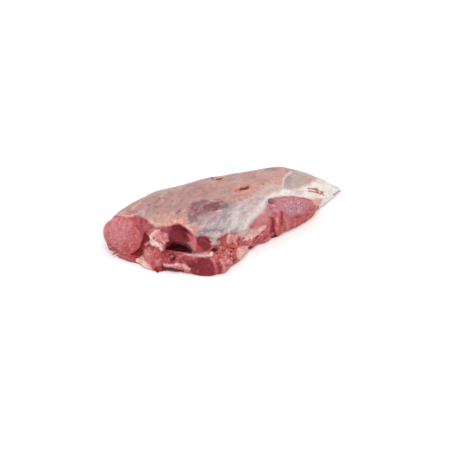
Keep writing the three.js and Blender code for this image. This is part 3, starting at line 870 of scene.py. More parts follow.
    def left_lobe(self) -> Marks:
        """Returns the lobe under the gap, left of the flap, with painted light in its middle and painted
        shade round its rim.
        """
        body = ((142.6, 247.4), (148.4, 245.6), (155.1, 246), (158.5, 248.6), (159.8, 253),
                (157.4, 257.7), (153.4, 262.1), (152.5, 267), (149.3, 266.2), (144.9, 260.8),
                (140.9, 256.3), (140.4, 251.9))
        return [
            # painted light on the lobe's middle, and painted shade round its rim
            Mark(PALE, ((144, 249), (150, 247.6), (154, 251), (151, 258), (145, 257)), 0.3, soft=6),
            Stroke(DEEP_AND_SHADE, (*body, body[0]), 0.4, 1.2, ragged=0.8),
            Mark(RED, ((152, 249), (157.5, 251), (158, 256), (152, 260), (150, 254)), 0.55, soft=6),
            Flecks(FAT, body, 12, length=(1, 4), slant=60, spread=40, reach=(0.4, 0.8), soft=1.8,
                   amount=(0.2, 0.5), rise=0.3, seed=61),
            Flecks(DEEP_AND_SHADE, body, 14, length=(1, 4), slant=-50, spread=40, reach=(0.4, 0.9), soft=1.8,
                   amount=(0.2, 0.55), rise=-0.4, seed=62),
            Stroke(RED, ((151, 246.6), (154, 250), (153.6, 255)), 0.6, 0.7, soft=2.5, rise=-0.5),
            # painted shade in the crease at its right
            Stroke(DEEP_AND_SHADE, ((159.5, 250.5), (160, 255), (157.6, 259)), 0.55, 0.7, soft=2.5, ragged=0.4,
                   rise=-1.2),
            Mark(SILVER, ((153.4, 259.6), (157, 258.6), (160.4, 259.6), (160, 263.4), (156, 264),
                          (153.6, 262.4)), 0.3, ragged=1),
            Mark(BLUE, ((153.4, 259.6), (160.4, 260), (158, 264.4)), 0.4, ragged=1),
        ]

    def middle_lobe(self) -> Marks:
        """Returns the lobe with the small pit, and its join to the flap, with painted shade in both."""
        body = ((160, 250.4), (167, 252), (176, 253.4), (178, 259), (176.6, 265), (168, 265.6),
                (160.6, 262.6))
        return [
            Mark(RED, body, 0.4, ragged=1.5),
            Mark(DEEP_AND_SHADE, body, 0.5, soft=6, ragged=1.5),
            Flecks(DEEP_AND_SHADE, body, 14, length=(1, 4), slant=30, spread=60, reach=(0.5, 1.0), soft=2,
                   amount=(0.3, 0.7), rise=-0.5, seed=63),
            Flecks(PALE, body, 12, length=(1, 3.5), slant=30, spread=60, reach=(0.4, 0.9), soft=2,
                   amount=(0.3, 0.7), rise=0.4, seed=64),
            # painted shade in the small pit
            Stroke(DEEP_AND_SHADE, ((168.8, 256), (170, 253.8), (172.6, 253.2), (175, 255.6), (174, 259),
                          (171.6, 260)), 1.0, 0.9, soft=1.6, ragged=0.3, rise=-0.8),
            Stroke(PALE, ((171, 257.4), (172.4, 256.4)), 0.7, 1.0, soft=1.8, rise=0.6),
            # painted shade in the crease of its join to the flap
            Stroke(DEEP_AND_SHADE, ((166, 263), (171, 264.4), (175, 263), (176.4, 260)), 0.55, 0.8, soft=2.5,
                   rise=-0.8),
        ]

    def flap(self) -> Marks:
        """Returns the flap's own cut face."""
        face = ((178, 258.4), (185, 256), (193, 258.6), (199, 259.6), (203, 257.8), (212, 260.4),
                (217, 266), (220, 276), (204.8, 277.4), (195.9, 275), (188, 270), (181, 266),
                (177.6, 264))
        dark = ((187, 264), (195, 260.2), (202.3, 257.8), (211.2, 261), (215, 266), (215, 275),
                (204.8, 276.4), (196, 273.4), (189, 269))
        return [
            Mark(DEEP_AND_SHADE, face, 0.66, ragged=1.4),
            Mark(DEEP_AND_SHADE, dark, 0.84, soft=9, ragged=2.4),
            Stroke(DEEP_AND_SHADE, ((189, 267.4), (195.6, 263.4), (201, 260), (206, 260.6)), 0.9, 2.8, soft=8,
                   ragged=1.6, wave=6),
            Stroke(PALE, ((186, 258.6), (192, 259.4), (196.6, 261.6)), 0.3, 1.2),
            Mark(RED, ((214, 262), (217.6, 266), (220, 274), (214.6, 275), (214.4, 268)), 0.5,
                 ragged=1.4),
            Flecks(PALE, face, 12, length=(1, 3), slant=20, spread=50, reach=(0.6, 1.2), soft=3,
                   amount=(0.1, 0.25), rise=0.3, seed=65),
            Stroke(PALE, ((212, 258), (214.4, 263), (216.6, 269)), 0.6, 1.3, soft=5, ragged=1, wave=5,
                   rise=0.5),
            Stroke(PALE, ((181, 260), (184, 262), (188, 266.4)), 0.4, 1.0, soft=3, rise=0.3),
        ]

    def under_round(self) -> Marks:
        """Returns the skirt under the round muscle, and the fat between it and the left lobe."""
        return [
            Mark(DEEP_AND_SHADE, ((116, 257), (120, 253.4), (129, 254.6), (137, 258.6), (136, 263), (126, 261)),
                 0.4, soft=3, ragged=1),
            Mark(SHOWING, ((117, 256), (121, 254.6), (126, 256.6), (124, 259.6), (118, 258.6)), 1.0,
                 soft=3, ragged=1),
            Mark(RED, ((128, 255), (134, 255), (139, 258), (134, 260)), 0.7, soft=3, ragged=1),
            Mark(FAT, ((137, 257.6), (141, 255), (145, 260.4), (151.5, 267), (152, 271), (144.9, 267.8),
                       (139, 263.4), (136, 261)), 1.0, soft=2.5, ragged=1, rise=0.4),
            Flecks(RED, ((138, 258), (142, 258), (149, 266), (145, 267), (138, 262)), 7, length=(1, 3.5),
                   slant=-30, spread=40, reach=(0.4, 0.8), soft=1.8, amount=(0.4, 0.8), seed=66),
            Stroke(WAX, ((138.6, 261), (143, 264), (147, 267)), 0.6, 0.9, soft=2, rise=0.5),
        ]

    def foot(self) -> Marks:
        """Returns the lump at the flap's foot, the pale underside beside it and the slit, painted as the
        shadow under the flap.
        """
        return [
            Mark(BLOOD, ((153.6, 267.4), (157, 265), (161, 266), (163, 270), (161, 274), (155, 273.4)),
                 0.8, soft=2.5, ragged=0.8),
            Stroke(PALE, ((156, 266), (158.6, 265.2)), 0.5, 1.0, soft=2.5),
            # the slit: painted shadow under the flap
            Mark(DEEP_AND_SHADE, ((161, 264.7), (166, 265.4), (172, 268), (184, 270.4), (183, 274), (162, 274)),
                 1.0, soft=1.8, ragged=0.5, rise=-0.6),
            Stroke(FAT, ((164.6, 265.4), (170, 265.6), (176.8, 264.6), (183, 265.6), (188.6, 269)), 0.75,
                   2.2, soft=3, ragged=1, wave=5, rise=0.5),
            Stroke(SHOWING, ((166, 266.6), (173, 266.6), (181, 267.4)), 0.3, 0.8, soft=3),
        ]

    def sinews(self) -> Marks:
        """Returns the white sinew between the stack and the flap."""
        sinew = ((149, 244.4), (154, 246.2), (159.6, 248.7), (166.6, 250.6), (175.5, 251.9),
                 (185.7, 253.9), (192, 255.6), (199, 256.2), (207.4, 256.2), (211, 254.4))
        return [
            Mark(DEEP_AND_SHADE, ((186, 251.4), (194, 252.4), (200, 252.6), (205, 254), (198, 255), (190, 254.4)),
                 0.5, soft=2.5, ragged=0.7),
            Mark(SILVER, ((184, 252.4), (193, 253), (201, 253), (208, 252), (210, 255.6), (199, 257),
                          (190, 255.6)), 0.7, soft=3, ragged=0.9),
            Stroke(STAINED, sinew[:5], 0.5, 0.9, soft=3, ragged=0.8, wave=6, rise=0.9),
            Stroke(FAT, sinew[4:], 0.6, 0.9, soft=2.6, ragged=0.8, wave=6, rise=1.0),
            Stroke(FAT, ((200, 255.6), (204, 256), (209, 255)), 0.7, 1.6, soft=3, ragged=0.8, wave=5,
                   rise=0.5),
            Mark(WAX, ((209.6, 253), (211, 251.6), (213.4, 252.4), (213, 255.6), (210.6, 256.4)), 1.0,
                 soft=1.5, ragged=0.6, rise=1.2),
        ]


@dataclass
class TrimmedSide:
    """The long side where the knife laid the red muscle bare."""

    long_muscle: tuple[Pixel, ...] = (
        (268.4, 200.2), (278, 197.8), (291, 196.2), (305.3, 197.8), (311.8, 200.2), (316.6, 206.6),
        (315, 214), (299, 228), (280, 240), (262, 246), (262, 236), (266, 228), (257, 227.5), (249, 229),
        (251, 224), (258.7, 216.3), (266, 209),
    )
    ragged_end: tuple[Pixel, ...] = (
        (212, 254), (214, 248), (216, 243), (221.4, 235.8), (227, 233.7), (232, 238), (240, 237),
        (248, 238), (243, 247), (239, 262), (232, 266), (224, 275), (219, 268), (214, 261),
    )

    def marks(self) -> Marks:
        """Returns the tissues of the trimmed side as the photograph shows them."""
        lower_strip = ((240, 239), (250, 236), (262, 229), (268, 232), (318, 205), (322, 212), (300, 240),
                       (240, 276), (236, 262))
        return [
            Mark(CUT, lower_strip, soft=2.5, ragged=1.2, wave=6),
            Mark(CUT, self.long_muscle, soft=2, ragged=0.8, wave=6, rise=0.6),
            *self.ragged(), *self.low_fat(), *self.bare_muscle(), *self.clefts(),
        ]

    def ragged(self) -> Marks:
        """Returns the torn meat between the flap and the long muscle, with painted shade in its pits and
        under its tufts and painted highlights on its chunks.
        """
        lumps = (((220, 241), (222, 235), (225.6, 233.4), (226.6, 236), (225, 243), (224, 246),
                  (219.6, 245.6)), ((236, 236), (240, 235.6), (241.4, 240), (238, 244), (235.6, 241)),
                 ((222, 245.6), (236, 245), (236.6, 251), (230, 253), (223, 251.6)),
                 ((229.4, 256), (234, 253.6), (237, 258), (233, 265.4), (229, 263)),
                 ((231, 234.6), (235, 234), (236, 238.4), (232, 239)))
        chunks = ((218, 247), (236, 245), (238, 256), (234, 266), (226, 266), (219, 256))
        strands = (((217, 250.4), (223, 254.6), (229, 259)), ((219, 253.6), (224, 257.4), (227.4, 262)),
                   ((226, 250), (230, 254), (231, 257.6)))
        return [
            Mark(RAGGED, self.ragged_end, 0.7, ragged=1.5),
            Mark(RAGGED, ((238, 244), (262, 231), (272, 240), (300, 232), (312, 215), (320, 212),
                          (300, 240), (240, 276)), 0.35, ragged=1.5),
            *[Mark(RED, lump, 0.8, ragged=1.6, wave=4, rise=0.6) for lump in lumps],
            # painted shade in pits among the lumps
            Flecks(DEEP_AND_SHADE, self.ragged_end, 26, length=(0.8, 2.6), slant=50, spread=80, reach=(0.8, 1.5),
                   soft=3, amount=(0.3, 0.7), rise=-1.0, seed=71),
            # painted highlights on the red chunks, in the fat's colours
            Flecks(FAT, chunks, 18, length=(0.8, 2.6), slant=-35, spread=60, reach=(0.7, 1.3), soft=4,
                   amount=(0.25, 0.6), rise=0.4, seed=72),
            Mark(CUT, ((214, 257), (228, 257), (228, 275), (216, 275)), 0.8, soft=5, ragged=1.5),
            Mark(PALE, ((218.6, 257.6), (228, 258.4), (227, 264.4), (220.4, 263.6)), 0.65, soft=3.5,
                 ragged=1.2),
            Mark(SHOWING, ((219, 258), (227, 259), (226, 263.6)), 0.2, soft=5, ragged=1.2),
            Mark(DEEP_AND_SHADE, ((217.2, 260), (221.6, 264.6), (222, 272), (219, 275), (216.6, 269)), 0.75, soft=6,
                 ragged=1.6, wave=5),
            Stroke(STAINED, ((222.8, 264), (225, 268.4), (223.4, 273)), 0.45, 1.7, ragged=1.2, wave=5,
                   rise=0.4),
            Flecks(BLOOD, self.ragged_end, 18, length=(0.8, 2.6), slant=50, spread=80, reach=(0.8, 1.5),
                   soft=3, amount=(0.4, 0.9), seed=73),
            *[Stroke(STAINED, strand, 0.5, 1.1, soft=3, ragged=1, wave=4, rise=0.5)
              for strand in strands],
            # a pit painted dark as its shade, blood red round it
            Mark(BLOOD, ((213, 248.6), (217.6, 248), (218.6, 250.4), (214, 252)), 0.9, soft=3, ragged=0.7,
                 rise=-1.0),
            Mark(DEEP_AND_SHADE, ((214.6, 248.6), (217.4, 248), (217.4, 250.6), (215, 251)), 1.0, soft=2.5,
                 ragged=0.7, rise=-0.8),
            # painted shade under the tufts
            Stroke(DEEP_AND_SHADE, ((227, 245), (230, 244.6), (233, 245.6)), 0.6, 0.9, soft=2.6, ragged=0.7,
                   rise=-0.8),
            Stroke(DEEP_AND_SHADE, ((214.6, 246), (221, 245.4)), 0.6, 0.7, soft=2.4, ragged=0.7),
            # fat at the skin's edge
            Mark(FAT, ((226.6, 237), (230, 234), (234, 236.6), (231, 241.6), (227, 242.6)), 0.4,
                 ragged=1.8, wave=5, rise=0.4),
            Mark(SHOWING, ((227, 236), (231, 233), (236, 235), (232, 241)), 0.25, soft=5, ragged=1.6),
            Mark(FAT, ((238, 234.4), (243, 232.6), (247, 233), (244, 238), (240, 238.6)), 0.5, soft=5,
                 wave=5),
            Flecks(RED, ((218, 236), (226, 233), (242, 234), (242, 239), (228, 240)), 10, length=(1, 3),
                   slant=55, spread=60, reach=(0.8, 1.8), soft=4, amount=(0.3, 0.7), seed=76),
            Flecks(FAT, ((225, 243), (228, 234), (238, 233), (240, 240), (234, 244)), 16,
                   length=(0.8, 2.6), slant=60, spread=50, reach=(0.7, 1.5), soft=3.6, amount=(0.3, 0.8),
                   rise=0.5, seed=79),
            Mark(SILVER, ((229.6, 239), (233, 238.4), (234, 242), (230.6, 243)), 0.6, ragged=1.6, wave=4),
        ]

    def low_fat(self) -> Marks:
        """Returns the pink fat low on the side, and the strip that runs up to the long muscle."""
        strip = ((241, 250), (252, 240), (266, 231), (276, 238), (262, 246), (244, 262))
        pink = ((238, 248), (243, 246), (250, 246.6), (249.6, 252), (244, 258), (238.6, 260),
                (236.6, 254))
        return [
            Mark(RED, strip, 0.55, soft=8, ragged=2.5),
            Mark(FAT, pink, 0.8, soft=3, ragged=1.5, wave=5, rise=0.5),
            Flecks(STAINED, pink, 14, length=(1, 3), slant=40, spread=70, reach=(0.6, 1.3), soft=3,
                   amount=(0.4, 0.8), rise=-0.3, seed=77),
            Stroke(RED, ((240, 247), (245, 243.4), (252, 240.4)), 0.5, 1.6, ragged=1.2, wave=5, rise=0.6),
            Mark(FAT, ((243, 240.4), (247, 235), (252, 231.4), (258, 228.4), (263, 224.4), (266.2, 224.8),
                       (264.4, 229), (259, 233.4), (253, 238), (247, 241)), 0.9, soft=3, ragged=1.6,
                 wave=5, rise=0.8),
            Flecks(STAINED, ((246, 239), (252, 232), (262, 226), (262, 231), (252, 238)), 12,
                   length=(1, 3.5), slant=40, spread=40, reach=(0.6, 1.3), soft=2.5, amount=(0.3, 0.7),
                   rise=-0.4, seed=78),
            Flecks(FAT, strip, 16, length=(2, 7), slant=32, spread=16, reach=(0.5, 1.0),
                   amount=(0.3, 0.65), rise=0.5, seed=74),
            Flecks(DEEP_AND_SHADE, strip, 16, length=(2, 6), slant=32, spread=20, reach=(0.5, 1.1),
                   amount=(0.3, 0.75), rise=-0.9, seed=75),
            Stroke(DEEP_AND_SHADE, ((249, 247.6), (251.6, 247.4)), 0.9, 1.3, soft=2, rise=-0.8),
        ]

    def bare_muscle(self) -> Marks:
        """Returns the long bare muscle and the film on its upper half, with painted glints of wet light over
        the film.
        """
        left = ((251, 225), (258, 217), (266, 209.6), (270, 212), (268, 222), (262, 228), (254, 227.6))
        upper = ((266, 214), (268.6, 202), (278, 198.6), (291, 197), (305, 198.6), (313, 203), (307, 211),
                 (290, 215), (274, 216))
        glint_patch = ((283, 200), (292, 199), (304, 203), (303, 211), (290, 214), (282, 210))
        low = ((264, 232), (274, 224), (296, 215.6), (314, 207), (316, 214), (299, 230), (276, 242),
               (264, 243))
        return [
            Mark(PALE, upper, 0.45, soft=9, ragged=3),
            Mark(SHOWING, upper, 0.35, soft=9, ragged=3),
            Mark(PALE, left, 0.4, soft=6),
            Mark(SHOWING, left, 0.48, soft=8),
            # painted glints of wet light: fine white specks over the upper half, thickest in the glint patch
            Mark(FROST_AND_GLINTS, upper, 0.45, soft=8, ragged=3, wave=6),
            Mark(FROST_AND_GLINTS, glint_patch, 1.0, soft=12, ragged=3, wave=6),
            Mark(RED, low, 0.5, soft=8, ragged=2.5),
            # more painted glints, in the fat's colours
            Flecks(FAT, glint_patch, 24, length=(0.5, 1.4), slant=20, spread=60, reach=(0.4, 0.7), soft=1.8,
                   amount=(0.25, 0.6), rise=0.3, seed=81),
            *[Stroke(DEEP_AND_SHADE, ((x - 0.5, y), (x + 0.5, y)), 0.6, 0.9, soft=2.2, rise=-0.5)
              for x, y in ((274, 213.4), (284.6, 212.6), (270.6, 209.4), (276.6, 214.4))],
            Flecks(DEEP_AND_SHADE, low, 40, length=(0.6, 1.8), slant=60, spread=70, reach=(0.6, 1.2), soft=2.4,
                   amount=(0.2, 0.5), rise=-0.4, seed=82),
            Flecks(PALE, low, 34, length=(0.6, 1.8), slant=60, spread=70, reach=(0.6, 1.2), soft=2.4,
                   amount=(0.25, 0.6), rise=0.3, seed=83),
            # painted shadow under the raised top edge
            Stroke(DEEP_AND_SHADE, ((268.6, 203), (269.4, 200), (276, 197.8), (288, 196.6), (300, 197.6),
                          (309, 199.6)), 0.45, 0.7, soft=2.5, ragged=0.6, rise=-0.6),
            Stroke(FAT, ((268, 201), (267, 207), (263, 213)), 0.4, 0.8, soft=2.5),
            Stroke(FAT, ((272, 205.6), (274.6, 206.4)), 0.7, 0.6, soft=1.8, rise=0.4),
        ]

    def clefts(self) -> Marks:
        """Returns the clefts across the long muscle, with painted shade in them, and the swellings between
        them.
        """
        clefts = (((272.4, 218.6), (273.6, 224), (273.4, 230), (275.2, 236)),
                  ((281.4, 211.6), (282, 217), (281.4, 224)), ((272, 226), (270.8, 232)))
        return [
            Mark(RED, ((269, 217), (284, 212), (286, 226), (279, 236), (270, 238)), 0.6, soft=6),
            # the clefts and the crease under them: blood red, with painted shade in them
            *[Stroke(BLOOD, cleft, 0.65, 1.5, ragged=1.6, wave=5, rise=-0.6) for cleft in clefts],
            *[Stroke(DEEP_AND_SHADE, cleft, 0.8, 0.8, soft=2.6, ragged=1.1, wave=4, rise=-1.6) for cleft in clefts],
            Stroke(DEEP_AND_SHADE, ((270.6, 236.6), (276.4, 236.4)), 1.0, 1.4, soft=2, rise=-1.0),
            Stroke(PALE, ((277, 217), (277.6, 226), (277.4, 232)), 0.4, 1.2, soft=5, ragged=1.6, wave=5,
                   rise=0.5),
            Stroke(FAT, ((276.6, 218), (277.4, 222)), 0.5, 0.7, soft=3),
            Stroke(PALE, ((284.6, 218), (288, 222), (287, 228)), 0.5, 2.2, soft=5, rise=0.8),
        ]


@dataclass
class Meat:
    """The whole piece of meat as one skin of fine faces over its solid."""

    voxel: float = 1.39 * MM      # the net's faces, small enough for the finest marks to show
    merge: float = 0.01 * MM      # vertices of the solid closer than this are one
    hidden_depth: float = 30 * MM  # how far behind the seen surface a mark of the photograph holds
    hidden_edge: float = 17.0     # millimetres above the floor where the skin ends on the unseen side
    edge_bays: Waves = ((5.0, 55), (2.0, 12))
    edge_soft: float = 1.5        # millimetres either way over which the skin ends
    rim: tuple[float, float] = (1.0, 3.5)          # millimetres from there where its fat fades, and ends
    patch_wave: float = 24        # millimetres from one patch of fat under it to the next
    patch_span: tuple[float, float] = (0.15, 0.6)  # how high the waves are where such a patch begins
    cut_grain: Waves = ((0.45, 9), (0.35, 4.5), (0.2, 3))
    torn_lumps: Waves = ((1.3, 11), (0.9, 5.5))
    skin_waves: Waves = ((0.5, 24), (0.15, 6))
    dark_smooth: float = 0.85     # how much smoother than other cut meat the dark muscle and the painted shade are
    foot: tuple[float, float] = (1.0, 5.0)         # millimetres above the floor where the relief begins
    settle: int = 8               # rounds of smoothing all over
    skin_settle: int = 14         # further rounds on the skin
    hollow_reach: int = 14        # neighbours away that the surroundings of a hollow reach
    hollow_depth: float = 1.5     # millimetres under them that count as fully hollow
    plain_dark: float = 0.1       # how far below none the dark muscle and the painted shade hold those over them, to hide their grain
    camera: PhotoCamera = field(default_factory=PhotoCamera)

    def rough(self) -> bpy.types.Object:
        """Returns an object with a merged copy of the solid's faces."""
        form = bmesh.new()
        form.from_mesh(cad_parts[NODE].data)
        bmesh.ops.remove_doubles(form, verts=form.verts, dist=self.merge)
        mesh = bpy.data.meshes.new("meat")
        form.to_mesh(mesh)
        form.free()
        meat = bpy.data.objects.new("meat", mesh)
        bpy.context.scene.collection.objects.link(meat)
        return meat

    def grow_skin(self, meat: bpy.types.Object) -> None:
        """Replaces the object's faces by an even net of small ones, and smooths it.

        Args:
            meat: the object, with one closed mesh.
        """
        net = meat.modifiers.new("net", "REMESH")
        net.mode = "VOXEL"
        net.voxel_size = self.voxel
        graph = bpy.context.evaluated_depsgraph_get()
        mesh = bpy.data.meshes.new_from_object(meat.evaluated_get(graph))
        meat.modifiers.remove(net)
        form = bmesh.new()
        form.from_mesh(mesh)
        for _ in range(self.settle):
            bmesh.ops.smooth_vert(form, verts=form.verts, factor=0.5,
                                  use_axis_x=True, use_axis_y=True, use_axis_z=True)
        form.to_mesh(mesh)
        form.free()
        meat.data = mesh

    def paint_hidden_side(self, surface: Surface) -> None:
        """Ends the skin above the floor on the side that the photograph doesn't show.

        Args:
            surface: the surface, with all its marks.
        """
        height = surface.places[:, 2] / MM - self.hidden_edge - surface.uneven(self.edge_bays)
        hidden = 1.0 - surface.seen
        below = (1.0 - smoothstep(-self.edge_soft, self.edge_soft, height)) * hidden
        rim = (1.0 - smoothstep(*self.rim, np.abs(height))) * hidden
        patches = smoothstep(*self.patch_span, surface.wander(self.patch_wave, 3)) * below
        amounts = ((CUT, below), (RAGGED, 0.7 * below), (FAT, 0.7 * rim), (FAT, 0.6 * patches))
        for tissue, amount in amounts:
            surface.tissues[tissue] = np.maximum(surface.tissues[tissue], amount)

    def relief(self, surface: Surface) -> np.ndarray:
        """Measures how far each vertex moves out, from its marks and its tissue.

        Args:
            surface: the surface, with all its marks.

        Returns:
            Millimetres along each vertex's normal.
        """
        cut, torn = surface.tissues[CUT], surface.tissues[RAGGED]
        smooth = 1.0 - self.dark_smooth * surface.tissues[DEEP_AND_SHADE]
        grain = smooth * surface.uneven(self.cut_grain) + torn * surface.uneven(self.torn_lumps, 2)
        waves = (1.0 - cut) * surface.uneven(self.skin_waves)
        return (surface.rise + cut * grain + waves) * smoothstep(*self.foot, surface.places[:, 2] / MM)

    def settle_skin(self, surface: Surface) -> None:
        """Smooths the skin further than the cut meat.

        Args:
            surface: the surface, with all its marks.
        """
        smooth = surface.spread(surface.places, self.skin_settle)
        keep = surface.tissues[CUT][:, None]
        surface.places = keep * surface.places + (1.0 - keep) * smooth

    def build(self) -> bpy.types.Object:
        """Returns the meat, with its tissues as vertex attributes."""
        meat = self.rough()
        self.grow_skin(meat)
        surface = Surface(meat.data, self.camera, self.hidden_depth)
        for region in (SkinSide(), CutEnd(), TrimmedSide()):
            for laid in region.marks():
                for mark in laid.marks():
                    surface.paint(mark)
        self.paint_hidden_side(surface)
        self.settle_skin(surface)
        surface.move(self.relief(surface))
        low, high = (np.array(corner) for corner in CAD_BOX)
        surface.places = np.clip(surface.places, low, high)
        meat.data.vertices.foreach_set("co", surface.places.astype(np.float32).ravel())
        meat.data.update()
        surface.normals = surface.read(meat.data.vertex_normals, "vector", len(surface.places))
        for tissue in LAYERS[LAYERS.index(DEEP_AND_SHADE) + 1:]:
            surface.tissues[tissue] -= self.plain_dark * surface.tissues[DEEP_AND_SHADE]
        layers = {tissue.value: values for tissue, values in surface.tissues.items()}
        # how hollow each vertex lies, which the material turns into painted shade and painted light
        layers["hollow"] = surface.hollow(self.hollow_reach, self.hollow_depth)
        for name, values in layers.items():
            layer = meat.data.attributes.new(name, "FLOAT", "POINT")
            layer.data.foreach_set("value", values.astype(np.float32))
        meat.data.shade_smooth()
        return meat


@dataclass(frozen=True)
class Scrap:
    """A shred or a lump that stands off the meat, laid out by pixels of the photograph."""

    tissue: Tissue
    pixels: tuple[Pixel, ...]
    width: float                    # millimetres across, at its thickest
    end: Tissue | None = None       # the tissue of its far end, where that is another one
    tip: float = 0.5                # width near the far end against that near the start
    flat: float = 0.6               # thickness against width
    lift: float = 0.4               # millimetres from the surface to its middle


@dataclass(frozen=True)
class Strewing:
    """Small scraps at random places of the torn end."""

    kinds: tuple[Tissue, ...] = (RED, CUT, BLOOD, CUT, RAGGED, RED)
    count: int = 26
    across: tuple[float, float] = (220, 238)   # pixels between which their middles lie
    down: tuple[float, float] = (244, 266)
    turn: tuple[float, float] = (0.2, 2.8)     # radians above the photograph's horizontal
    half: tuple[float, float] = (0.8, 1.6)     # half their length in pixels
    width: tuple[float, float] = (2.6, 4.4)    # millimetres, as in Scrap
    tip: tuple[float, float] = (0.5, 0.9)
    lift: tuple[float, float] = (-0.5, 0.2)
    seed: int = 7

    def scraps(self) -> list[Scrap]:
        """Returns the scraps, the same ones each time."""
        draw = random.Random(self.seed)
        scraps: list[Scrap] = []
        for _ in range(self.count):
            x, y = draw.uniform(*self.across), draw.uniform(*self.down)
            turn, half = draw.uniform(*self.turn), draw.uniform(*self.half)
            dx, dy = half * math.cos(turn), -half * math.sin(turn)
            pixels = ((x - dx, y - dy), (x, y), (x + dx, y + dy))
            scraps.append(Scrap(draw.choice(self.kinds), pixels, draw.uniform(*self.width),
                                tip=draw.uniform(*self.tip), lift=draw.uniform(*self.lift)))
        return scraps


